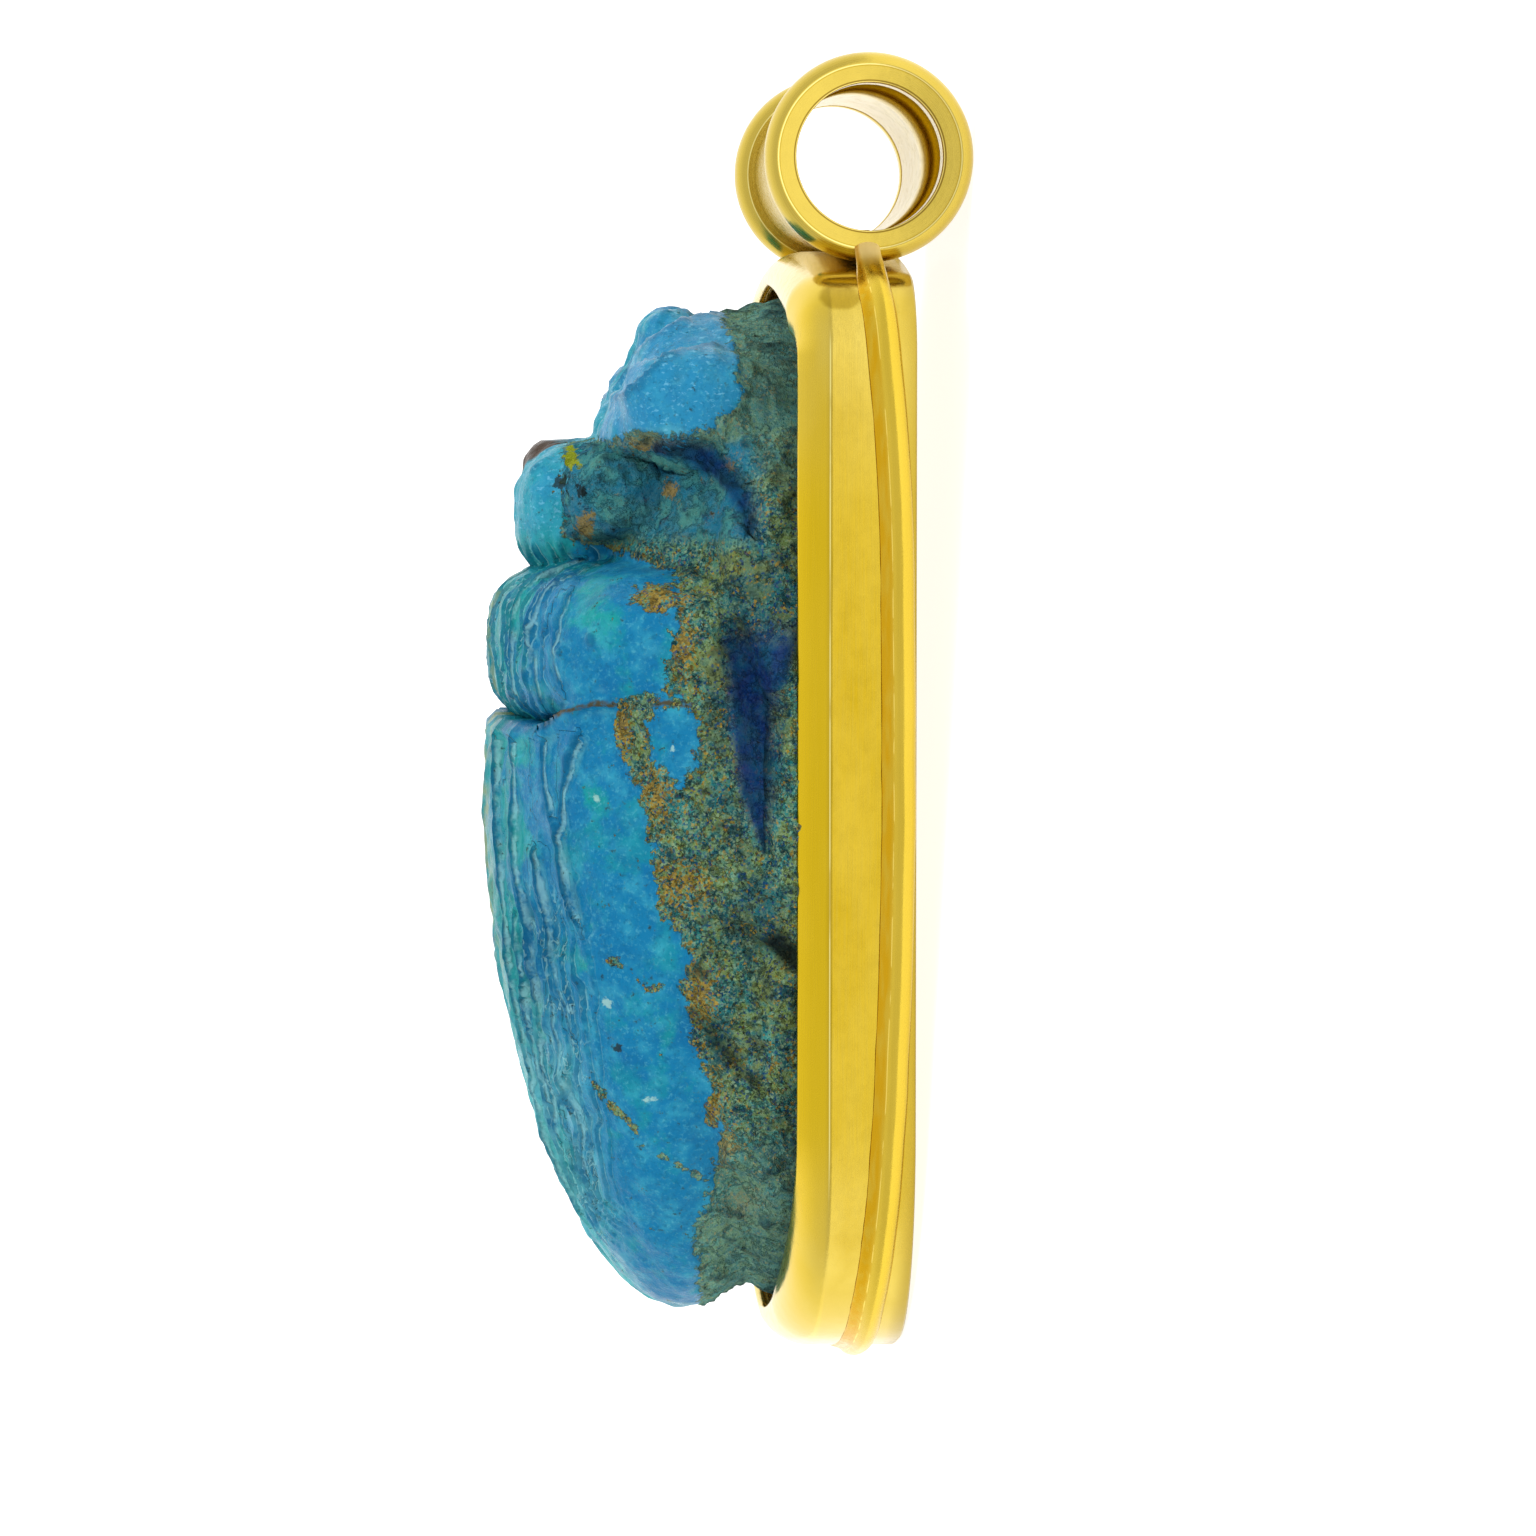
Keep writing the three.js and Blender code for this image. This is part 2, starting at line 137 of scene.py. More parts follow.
def signed_distance(u, v, path):
    """Distance to a path in a plane, positive on its left-hand side going backwards."""
    return np.prod(from_path(u, v, path), axis=0)


class Noise:
    """Seeded gradient noise, about -1 to 1, on points in millimetres."""

    def __init__(self, seed):
        rng = np.random.default_rng(seed)
        self.order = np.tile(rng.permutation(256), 3)
        gradients = rng.normal(size=(256, 3))
        self.gradients = gradients / np.linalg.norm(gradients, axis=1)[:, None]

    def __call__(self, p, size):
        scaled = p / np.array(size)
        cell = np.floor(scaled).astype(int)
        inside = scaled - cell
        fade = inside**3 * (inside * (inside * 6 - 15) + 10)
        total = 0
        for corner in np.ndindex(2, 2, 2):
            at = (cell + corner) & 255
            index = self.order[self.order[self.order[at[..., 0]] + at[..., 1]] + at[..., 2]]
            value = np.einsum("...i,...i", self.gradients[index], inside - corner)
            weight = np.prod(np.where(np.array(corner) == 1, fade, 1 - fade), axis=-1)
            total = total + value * weight
        return total * 1.6

    def layers(self, p, size, count=3, gain=0.5):
        size = np.array(size, float)
        parts = [self(p + 31.7 * i, size * 0.5**i) * gain**i for i in range(count)]
        return sum(parts)


# ---- the scarab's form -------------------------------------------
# The same rounded lumps, limbs and hollows as the solid, on points whose X is the distance
# from the middle plane. The fine carving is added afterwards, as a height along the surface.

SPINE_FRONT, SPINE_TAIL = 16.2, -17
END_REACH = 6
BASE_BOTTOM, BASE_TOP = 0.62, 5.7
SCARAB_HALF_WIDTH, SCARAB_HALF_LENGTH = 14.65, 21.4
# Rounded lumps: centre, radii and powers.
WING = ((0, -0.35, 9), (13.5, 22.1, 8.5), (2.5, 1.75, 1.85))
SHIELD = ((0, 6.6, 8.8), (13.4, 4, 8.6), (2.2, 4, 2.3))
CORE = ((0, -0.3, 6), (12.3, 20, 7.6), (2.2, 2.2, 2.2))
SKIRT = ((0, 0, 4), (14.45, 21.2, 7), (2.4, 2.4, 2.4))
CROWN = ((0, 12.4, 10), (4.4, 3.2, 6.2), (3, 2.8, 3.4))
KNOB = ((-1.1, 14.55, 14.4), (1.9, 1.1, 1.3), (2, 2, 2))
CLYPEUS = ((0, 14.9, 6.8), (10.6, 6.2, 7.2), (2.4, 2.4, 2.4))
CLYPEUS_SLOPE = Sizes(y=16.2, z=12.5, fall=0.5)
CHEEK = ((8, 16.9, 8.6), (3.3, 2.5, 3.3), (2.6, 2.6, 2.6))
TEMPLE = ((4.7, 13.3, 12), (2.7, 1.9, 2.1), (2.5, 2.5, 2.5))
TEETH = [
    ((0.9, 16, 11.7), (1.4, 19.7, 9.4), (1, 1.7)),
    ((2.9, 15.9, 11.5), (5, 18.9, 9), (0.9, 1.6)),
]
LIMBS = [
    ((12.9, 3.6, 6.6), (11.9, 12, 6.4), (1.1, 1.3)),
    ((11.9, 12, 6.4), (9.2, 16.8, 6.4), (1.3, 1.5)),
    ((12.5, 4.6, 9.2), (13.2, -3.8, 6.7), (1.1, 1.2)),
    ((12.4, 3.9, 10.3), (12.6, 1.6, 9.8), (1, 0.9)),
    ((12.5, -6.6, 8.1), (10.9, -14.5, 6.5), (1.2, 1.2)),
]
HOLLOWS = [  # start, end, radii and how softly they run out
    ((8.9, 13.4, 14.6), (12.4, 13.6, 9.5), (1.9, 1.9), 1),
    ((9.5, 14.9, 10.8), (10.4, 14.5, 8.7), (1.1, 1.15), 0.5),
    ((10.4, 14.5, 8.7), (11.7, 13.6, 7.4), (1.15, 0.9), 0.4),
    ((11.7, 13.7, 7.3), (12.9, 12, 6.8), (0.8, 0.5), 0.4),
    ((13.1, 7.3, 7.4), (13.8, 4.4, 6.5), (0.9, 1), 0.5),
    ((13.8, 4.4, 6.5), (14.5, -1.7, 6.2), (1, 0.3), 0.5),
    ((13.6, -5.4, 7.7), (14.5, -6.1, 5.5), (0.6, 0.85), 0.6),
    ((12.9, -8.5, 9.2), (13.4, -11.8, 6.4), (0.35, 0.5), 0.6),
]


def mirrored(p):
    return np.concatenate([np.abs(p[..., :1]), p[..., 1:]], axis=-1)


def back_angle(p):
    """Angle from the crest of the back on the wing cases' cross-section, in degrees."""
    (_, _, z), (rx, _, rz), _ = WING
    return np.degrees(np.arctan2(np.abs(p[..., 0]) / rx, (p[..., 2] - z) / rz))


def suture_y(angle):
    return 3.1 + 1.5 * ramp(angle, 36, 62)


def head_form(p):
    """The crown with the temples beside it, and the toothed plate that slopes down in front."""
    _, y, z = np.moveaxis(p, -1, 0)
    fall = CLYPEUS_SLOPE.fall
    above = (z - CLYPEUS_SLOPE.z + fall * (y - CLYPEUS_SLOPE.y)) / math.hypot(1, fall)
    form = smooth_max(lump(p, *CLYPEUS), above, 1)
    form = smooth_max(form, 15 - y, 1.4)
    for start, end, radii in TEETH:
        form = smooth_min(form, thick_line(p, start, end, radii), 0.3)
    form = smooth_min(form, lump(p, *CHEEK), 0.3)
    form = smooth_min(form, lump(p, *CROWN), 0.8)
    return smooth_min(form, lump(p, *TEMPLE), 0.5)


def scarab_form(point):
    p = mirrored(point)
    x, y, z = np.moveaxis(p, -1, 0)
    suture = suture_y(back_angle(p))
    form = smooth_min(lump(p, *CORE), lump(p, *SKIRT), 0.8)
    plan = ((x / SCARAB_HALF_WIDTH) ** 2.4 + np.abs(y / SCARAB_HALF_LENGTH) ** 2.4) ** (1 / 2.4)
    side = np.hypot(x, y) * (1 - 1 / np.maximum(plan, 1e-3))
    form = smooth_min(form, smooth_max(side, z - BASE_TOP, 0.5), 1.4)
    for start, end, radii in LIMBS:
        form = smooth_min(form, thick_line(p, start, end, radii), 0.9)
    form = smooth_min(form, smooth_max(lump(p, *WING), y - suture, 0.4), 1.2)
    form = smooth_min(form, smooth_max(lump(p, *SHIELD), suture - y, 0.4), 0.6)
    form = smooth_min(form, head_form(p), 0.6)
    for start, end, radii, softness in HOLLOWS:
        form = smooth_max(form, -thick_line(p, start, end, radii), softness)
    form = smooth_min(form, lump(point, *KNOB), 0.4)
    return smooth_max(form, BASE_BOTTOM - z, 0.25)


def spread(*stretches):
    """Numbers from stretches of (start, end, count), each without its end."""
    return np.concatenate([np.linspace(a, b, n, endpoint=False) for a, b, n in stretches])


def surface_rays():
    """Where the surface is measured from and towards, as a grid of rows and columns."""
    fine = 1
    # More columns on the side that is seen closest, few on the underside.
    columns = spread(
        (0, 118, int(172 * fine)), (118, 180, 12), (180, 242, 10), (242, 360, int(104 * fine))
    )
    ends, body = int(42 * fine), int(216 * fine)
    tilts = 90 * (1 - spread((0, 1, ends))[1:] ** 1.3)
    starts = [(SPINE_FRONT, tilt) for tilt in tilts]
    starts += [(y, 0) for y in np.linspace(SPINE_FRONT, SPINE_TAIL, body)]
    starts += [(SPINE_TAIL, -tilt) for tilt in tilts[::-1]]
    turn = np.radians(columns)
    tilt = np.radians([tilt for _, tilt in starts])[:, None]
    (_, _, spine_z), (rx, _, rz), _ = WING
    start = np.array([(0, y, spine_z) for y, _ in starts])[:, None, :]
    start = np.broadcast_to(start, (len(starts), len(columns), 3))
    across, up = rx * np.cos(tilt) * np.sin(turn), rz * np.cos(tilt) * np.cos(turn)
    along = END_REACH * np.sin(tilt) * np.ones_like(turn)
    direction = np.stack([across, along, up], axis=-1)
    return start, direction / np.linalg.norm(direction, axis=-1)[..., None]


def surface_points():
    """The first place where each ray leaves the form."""
    start, direction = surface_rays()
    shape = start.shape[:2]
    start, direction = start.reshape(-1, 3), direction.reshape(-1, 3)
    step = 0.35
    reach = np.full(len(start), step)
    walking = np.arange(len(start))
    while len(walking):
        at = start[walking] + direction[walking] * reach[walking, None]
        walking = walking[scarab_form(at) < 0]
        reach[walking] += step
    inside, outside = reach - step, reach
    for _ in range(9):
        middle = (inside + outside) / 2
        within = scarab_form(start + direction * middle[:, None]) < 0
        inside = np.where(within, middle, inside)
        outside = np.where(within, outside, middle)
    return (start + direction * inside[:, None]).reshape(*shape, 3)


def grid_normals(points):
    """Outward unit normals of a grid whose columns go round."""
    down = np.gradient(points, axis=0)
    across = np.roll(points, -1, axis=1) - np.roll(points, 1, axis=1)
    normal = np.cross(across, down)
    return normal / np.maximum(np.linalg.norm(normal, axis=-1), 1e-9)[..., None]


# ---- the scarab's carving, glaze and crust -----------------------
# Heights stand along the surface's normal. A place is (y, z) on the flank, and (y, angle from
# the crest) on the back.

MM_PER_DEGREE = 0.195  # round the back, where it is widest
TAIL_LENGTH = 5  # the back narrows over this length, to its least width at the tail

RIDGE_EDGES = [  # (y, angle) along the raised edge of each ridge of the wing cases
    [(2.7, 18.5), (0, 21), (-9, 22), (-14, 17), (-18.5, 22)],
    [(2.6, 31), (-2.4, 31), (-4.2, 35), (-9, 34), (-15, 29)],
    [(2.6, 43.5), (0.7, 44.5), (-0.8, 50)],
    [(2.8, 55), (0.8, 51.5), (-2.2, 50), (-3.6, 51.5), (-5.2, 56)],
    [(-2, 40), (-3.6, 40.5), (-5.3, 43), (-7.5, 44.5), (-10, 50)],
    [(-5, 27), (-7.5, 29), (-10.5, 26.5), (-13.5, 30)],
    [(-8.5, 42), (-11, 40.5), (-13.5, 46), (-16.5, 44)],
]
SHIELD_EDGES = [  # and of the wavy ridges of the pronotum, in front of the wing cases
    [(10.2, 30), (8.5, 28), (6.2, 28.5), (4.2, 31)],
    [(10, 43), (7.2, 38), (5.2, 41.5), (4.1, 40)],
    [(8.8, 50), (6.8, 47.5), (5.6, 51), (4.9, 50)],
]
HEAD_GROOVES = [  # (y, z) along the grooves between the ridges of the toothed plate
    [(16.9, 12.5), (18, 11.35), (18.6, 10.75), (19.1, 10.2), (19.35, 9.5), (19.5, 8.2)],
    [(16.6, 12.9), (18.3, 11.75), (19.6, 10.8), (20.4, 9.8), (20.8, 8.8), (20.9, 8)],
]
DIMPLES = [(7.2, 60, 0.5), (6.9, 39, 0.35), (6.7, 50, 0.35)]  # (y, angle, radius) in the pronotum

CRUST_EDGE = [  # (y, z) along the upper edge of the crust on the flank, from head to tail
    (21.6, 7.4), (17.3, 7.1), (16, 8.6), (15.7, 12), (15.2, 14.2), (11.5, 14.2), (10.8, 12),
    (9.8, 9.8), (7, 10), (5.2, 10.4), (4.7, 12.3), (2.5, 12), (0.5, 11.3), (-1.7, 10.8),
    (-4.2, 10.5), (-6, 9.2), (-7.5, 9.6), (-9.5, 9.2), (-11.5, 8.4), (-13.5, 7.8),
    (-16.5, 8.2), (-18.5, 9), (-22, 8.4),
]
BLUE_LOBE = Sizes(y=3, z=10, half_y=1.9, half_z=1)  # an island of glaze in the crust
ARCH = [(15.6, 10.1), (15.4, 9.2), (15, 8.4), (14.4, 7.7), (13.6, 7.1), (12.8, 6.8), (12, 6.8)]
WEDGE = [(8.2, 6.3), (7.2, 6.5), (4.1, 6.7), (0.8, 6.55), (-1.6, 6.3)]  # a hollow between the legs
WEDGE_HALF_WIDTH = [(-1.9, 0.1), (-0.5, 0.55), (0.8, 0.85), (4.1, 1.15), (7.2, 1.6)]  # (y, width)
DARK_HOLE = [(-5.4, 5.6), (-6.3, 4.6)]
LEG_CUT = [(-8.6, 9.1), (-10.1, 7.9), (-11.5, 6.5)]
VEINS = [  # (y, z) along thin veins of crust in the glaze
    [(-11.8, 13.2), (-12.6, 12.5), (-13.4, 11.7), (-14.4, 11.2)],
    [(-14.8, 10.4), (-15.5, 9.2), (-15.9, 8.5)],
    [(-6.3, 12.6), (-6.9, 11.7), (-7.6, 11), (-7.3, 10.4)],
]
PATCHES = dict(  # (y, z, half length, half height) of patches on the flank
    ochre=[
        (11.9, 13.4, 1.1, 0.5), (8.9, 10.7, 0.8, 1.5), (7, 9.6, 1.4, 0.8), (13.4, 9.7, 1, 0.5),
        (3.4, 12.1, 1.6, 0.5), (0.8, 10.8, 1.6, 0.9), (-3, 9.6, 1.3, 1.6), (-7.8, 8.8, 1.6, 0.9),
        (15.6, 10.9, 0.7, 1.6), (14.8, 7.3, 0.6, 0.5), (-12.8, 8.2, 1.2, 0.5),
        (-14.4, 7.6, 1.4, 0.5), (-17, 6.9, 0.9, 1.2),
    ],
    # The murky patches are painted shade beside the hollows of the legs.
    murky=[(8.8, 6.4, 3.4, 2), (4.5, 8.2, 3.5, 0.8), (-4.4, 6.6, 2.4, 1.6), (-9.8, 8, 2, 0.8)],
    turquoise=[
        (8.2, 13.2, 2.2, 1.6), (5.3, 12, 1.5, 1.2), (1.4, 13.4, 3.4, 1), (-9.4, 10.2, 1, 0.6),
        (-6, 13.4, 2, 0.8),
    ],
    yellow=[(14.75, 13.9, 0.7, 0.5)],
    black=[(13.7, 14.3, 0.8, 0.5), (13.4, 13.5, 0.5, 0.5), (-10.15, 12.2, 0.25, 0.25)],
    white=[
        (-8.2, 12.7, 0.45, 0.35), (0.5, 13.2, 0.4, 0.3), (2.7, 10.1, 0.2, 0.2),
        (-12.3, 10.9, 0.25, 0.5),
    ],
)
RELIEF = Sizes(  # heights and depths, in millimetres
    wing_ridge=0.62, shield_ridge=0.36, wing_fold=0.24, shield_fold=0.2, dimple=0.22, pit=0.16,
    joint=0.35, middle=0.15, groove=0.58, tooth=0.1, uneven=0.12, chip=0.04,
    crust_lump=0.26, crust_grain=0.12, crust_sunk=0.12, wedge=0.35, arch=0.3,
)
WAVE, RIPPLE, CHIP, GRAIN = Noise(3), Noise(11), Noise(23), Noise(41)


def scarp(across, rise, before, after):
    """A raised edge: the ground dips before it, jumps up at it and slopes away after it."""
    high = 0.5 * rise * np.exp(-np.maximum(across, 0) / after)
    low = -0.5 * rise * np.exp(np.minimum(across, 0) / before)
    return low + (high - low) * ramp(across, -0.12, 0.1)


def sawtooth(phase, edge=0.12):
    """Rises sharply at whole numbers and slopes down between them, from 0.5 to -0.5."""
    share = phase - np.floor(phase)
    return 0.5 - share + ramp(share, 1 - edge, 1)


def blurred(grid, times):
    for _ in range(times):
        grid = (np.roll(grid, 1, 1) + np.roll(grid, -1, 1) + 2 * grid) / 4
        above, below = np.vstack([grid[:1], grid[:-1]]), np.vstack([grid[1:], grid[-1:]])
        grid = (above + below + 2 * grid) / 4
    return grid


def narrowed(y):
    """The width of the back at a place along it, as a share of its full width."""
    return np.clip((y - SPINE_TAIL + TAIL_LENGTH) / TAIL_LENGTH, 0.3, 1)


def crust_depth(y, z):
    """Distance below the upper edge of the crust, in millimetres; negative on the glaze."""
    edge_y, edge_z = np.array(CRUST_EDGE[::-1]).T
    side = np.where(z < np.interp(y, edge_y, edge_z), 1, -1)
    depth = side * distance_to_path(y, z, CRUST_EDGE)
    from_lobe = np.hypot(
        (y - BLUE_LOBE.y) / BLUE_LOBE.half_y, (z - BLUE_LOBE.z) / BLUE_LOBE.half_z
    )
    return np.minimum(depth, (from_lobe - 1) * BLUE_LOBE.half_z)


class Surface:
    """Where each point of the scarab's surface lies on it, in arrays over the whole grid."""

    def __init__(self, points):
        self.points = points
        self.x, self.y, self.z = np.moveaxis(mirrored(points), -1, 0)
        self.angle = back_angle(points)
        self.suture = suture_y(self.angle)
        self.depth = crust_depth(self.y, self.z)
        self.glaze = ramp(-self.depth, -0.15, 0.25)
        self.crust = 1 - self.glaze
        self.wing = ramp(self.suture - self.y, 0.15, 0.4) * self.glaze
        self.shield = ramp(self.y - self.suture, 0.15, 0.4) * self.glaze
        self.shield *= ramp(11.3 - self.y, 0, 0.4)
        wobble = 0.25 * WAVE.layers(points, (3, 2, 3), 3, 0.6)
        self.around = self.angle * MM_PER_DEGREE * narrowed(self.y) + wobble
        self.near_crest = ramp(58 - self.angle, 0, 25)

    def near_path(self, path, start, end):
        """1 along a path on the flank, falling to 0 between two distances from it."""
        return 1 - ramp(distance_to_path(self.y, self.z, path), start, end)

    def patches(self, name):
        """1 in the middle of each patch of a kind, falling to 0 at its edge."""
        total = np.zeros(self.y.shape)
        for y, z, half_y, half_z in PATCHES[name]:
            away = np.hypot((self.y - y) / half_y, (self.z - z) / half_z)
            total = np.maximum(total, 1 - away)
        return np.clip(total, 0, 1)

    def wedge(self):
        half_width = np.interp(self.y, *np.array(WEDGE_HALF_WIDTH).T)
        away = distance_to_path(self.y, self.z, WEDGE) - half_width
        return (1 - ramp(away, -0.25, 0.15)) * ramp(8.6 - self.y, 0, 2)


def ridge_relief(s):
    """Height of the single raised ridges, and the distance across the nearest of them."""
    height = np.zeros(s.y.shape)
    nearest, ridge = np.full(s.y.shape, 2.0), np.full(s.y.shape, 2.0)
    rough = 0.75 + 0.6 * WAVE(s.points, (4, 3, 4))
    kinds = [(RIDGE_EDGES, s.wing, RELIEF.wing_ridge)]
    kinds += [(SHIELD_EDGES, s.shield, RELIEF.shield_ridge)]
    for edges, where, rise in kinds:
        for edge in edges:
            path = [(y, angle * MM_PER_DEGREE * narrowed(y)) for y, angle in edge]
            across = signed_distance(s.y, s.around, path)
            first, last = path[0][0], path[-1][0]
            shown = where * ramp(s.y, last - 0.6, last + 0.6)
            shown *= ramp(first + 0.8 - s.y, 0, 0.6)
            height += shown * rough * scarp(across, rise, 0.45, 1.1)
            hidden = 2 * (1 - shown)
            away = np.abs(across) + hidden
            ridge = np.where(away < nearest, across + np.sign(across) * hidden, ridge)
            nearest = np.minimum(away, nearest)
    return height, np.clip(ridge, -1.5, 1.5)


def fold_relief(s):
    """Height of the fine wavy folds of the back, their phase, and how much they show."""
    folds_shown = ramp(s.angle, 12, 26) * ramp(66 - s.angle, 0, 16)
    folds_shown *= ramp(-s.y, 1, 6) * ramp(s.y, -20.5, -17)
    wing_phase = (s.around + 0.5 * RIPPLE.layers(s.points, (1.6, 2.6, 1.6), 2)) / 0.95
    shield_phase = (s.around + 0.6 * RIPPLE.layers(s.points + 9, (1.4, 1.8, 1.4), 2)) / 1.05
    strength = RELIEF.wing_fold + 0.16 * CHIP(s.points, (3, 3, 3))
    height = s.wing * folds_shown * strength * sawtooth(wing_phase)
    height += s.shield * s.near_crest * RELIEF.shield_fold * sawtooth(shield_phase)
    phase = np.where(s.y > s.suture, shield_phase, wing_phase)
    folded = s.wing * folds_shown * (0.7 + CHIP(s.points, (2, 3, 2))) + s.shield * s.near_crest
    return height, phase, np.clip(folded, 0, 1)


def glaze_relief(s):
    """Unevenness, pits and dimples, the joint behind the pronotum and the middle line."""
    height = RELIEF.uneven * (WAVE.layers(s.points, (2, 2.8, 2), 3) - 1)
    height += RELIEF.chip * CHIP(s.points, 0.6)
    pits = ramp(CHIP(s.points, (1, 1.6, 1)), 0.2, 0.8)
    height -= RELIEF.pit * pits * ramp(70 - s.angle, 0, 20)
    joint = np.clip(1 - np.abs(s.y - s.suture) / 0.45, 0, 1)
    height -= RELIEF.joint * joint * ramp(75 - s.angle, 0, 10)
    height *= s.glaze
    height -= RELIEF.middle * np.clip(1 - s.x / 0.3, 0, 1) * s.wing
    for y, angle, radius in DIMPLES:
        away = np.hypot(s.y - y, (s.angle - angle) * MM_PER_DEGREE)
        height -= RELIEF.dimple * (1 - ramp(away, 0.3 * radius, radius))
    return height


def plate_relief(s):
    """The grooves of the toothed plate, and fine teeth across it."""
    height = RELIEF.tooth * (RIPPLE(s.points * (1, 0.6, 0.6), 0.5) + 0.5)
    for path in HEAD_GROOVES:
        height += scarp(signed_distance(s.y, s.z, path), -RELIEF.groove, 0.5, 0.55)
    return height * ramp(s.y, 16.6, 18) * s.glaze


def crust_relief(s, wedge, arch):
    """The lumpy, grainy crust, smoother and deeper in the hollows of the legs."""
    lumpy = RELIEF.crust_lump * WAVE.layers(s.points, 1.5, 3, 0.6)
    lumpy += RELIEF.crust_grain * GRAIN.layers(s.points, 0.45, 2)
    sunk = RELIEF.crust_sunk + RELIEF.wedge * wedge + RELIEF.arch * arch
    return s.crust * (lumpy * (1 - 0.7 * wedge) - sunk)


def scarab_marks(s, wedge, arch):
    """What the material reads about each point, most of it from 0 to 1."""
    recess = ramp(s.y, 10.8, 11.8) * ramp(16 - s.y, 0, 0.8) * ramp(s.z, 5.8, 7.2)
    seen_side = s.points[..., 0] > 0
    hole, leg_cut = s.near_path(DARK_HOLE, 0.3, 0.8), s.near_path(LEG_CUT, 0.1, 0.5)
    green = ramp(52 - s.angle, 0, 40) + 0.7 * ramp(s.patches("turquoise"), 0, 1)
    wrinkled = ramp(s.angle, 26, 34) * ramp(60 - s.angle, 0, 12)
    stain = ramp(16 - s.angle, 0, 10) * ramp(s.y, -9, -6)
    return dict(
        crust=s.depth,
        ochre=s.patches("ochre"),
        # The hollow between the legs and the arched groove: deep blue glaze darkened with painted
        # shade.
        deep=np.maximum(wedge, 0.9 * arch * s.crust),
        calm=recess * s.crust,
        # The murky patches, painted shade.
        murk_and_shade=ramp(s.patches("murky"), 0, 0.6),
        shade=np.maximum(hole, 0.6 * leg_cut),
        pit=s.patches("black") * seen_side,
        chip=s.patches("white") * seen_side,
        yellow=ramp(s.patches("yellow"), 0, 0.7) * seen_side,
        vein=np.max([s.near_path(vein, 0, 0.35) for vein in VEINS], 0),
        head=ramp(s.y, 10.8, 12) * s.glaze,
        pale=ramp(np.abs(s.y), 12, 17) * (1 - recess),
        brown=ramp(-lump(s.points, *KNOB), -0.3, -0.12),
        green=np.clip(green, 0, 1),
        wrinkled=s.wing * wrinkled * ramp(-s.y, 2.5, 5),
        stain=stain * ramp(10 - s.y, 0, 1),
        suture=s.y - s.suture,
        tail=ramp(-s.y, 6, 13) * ramp(62 - s.angle, 0, 25),
        angle=s.angle / 90,
    )


def scarab_surface():
    """The scarab's points with their relief, and the marks that its material reads."""
    points = surface_points()
    s = Surface(points)
    wedge, arch = s.wedge(), s.near_path(ARCH, 0.25, 0.75)
    ridges, ridge = ridge_relief(s)
    folds, phase, folded = fold_relief(s)
    height = ridges + folds + glaze_relief(s) + plate_relief(s) + crust_relief(s, wedge, arch)
    height *= ramp(points[..., 2], BASE_BOTTOM, BASE_BOTTOM + 1)
    # The relief less its blur: the glaze and crust read it to paint its hollows darker as painted
    # shade and its raised edges paler as painted highlight.
    edge = (height - blurred(height, 12)) / 0.1
    marks = dict(scarab_marks(s, wedge, arch), ridge=ridge, wavy=phase, folds_shown=folded, edge=edge)
    return points + grid_normals(points) * height[..., None], marks


# ---- meshes ------------------------------------------------------


def add_piece(name, points, faces, material, marks=None, replaces=()):
    """A smooth mesh piece from points in the pendant's frame, in millimetres."""
    turn, place = np.array(TO_WORLD.to_3x3()), np.array(TO_WORLD.translation)
    points = np.asarray(points).reshape(-1, 3) * MM @ turn.T + place
    mesh = bpy.data.meshes.new(name)
    mesh.from_pydata(points.tolist(), [], [list(f) for f in faces])
    mesh.polygons.foreach_set("use_smooth", [True] * len(mesh.polygons))
    for mark, values in (marks or {}).items():
        mesh.attributes.new(mark, "FLOAT", "POINT").data.foreach_set("value", np.ravel(values))
    mesh.materials.append(material)
    mesh.update()
    piece = bpy.data.objects.new(name, mesh)
    scene.collection.objects.link(piece)
    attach(piece, "root")
    if replaces:
        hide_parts(*replaces)
    return piece


def grid_faces(rows, columns, close_rows=False):
    """Quads over a grid whose columns go round, and its rows too if asked."""
    row = np.arange(rows if close_rows else rows - 1)[:, None]
    column = np.arange(columns)[None, :]
    next_row, next_column = (row + 1) % rows, (column + 1) % columns
    here, below = row * columns, next_row * columns
    corners = [here + column, below + column, below + next_column, here + next_column]
    return np.stack(corners, axis=-1).reshape(-1, 4)


def add_scarab(material):
    points, marks = scarab_surface()
    rows, columns, _ = points.shape
    faces = grid_faces(rows, columns).tolist()
    flat = points.reshape(-1, 3)
    last = (rows - 1) * columns
    tips = np.array([flat[:columns].mean(0), flat[last:].mean(0)])
    count = rows * columns
    for j in range(columns):
        k = (j + 1) % columns
        faces.append([count, j, k])
        faces.append([count + 1, last + k, last + j])
    marks = {m: np.append(np.ravel(v), [0, 0]) for m, v in marks.items()}
    marks["crust"][-2:] = -1
    points = np.vstack([flat, tips])
    piece = add_piece("scarab_relief", points, faces, material, marks, ["scarab"])


# ---- gold pieces -------------------------------------------------

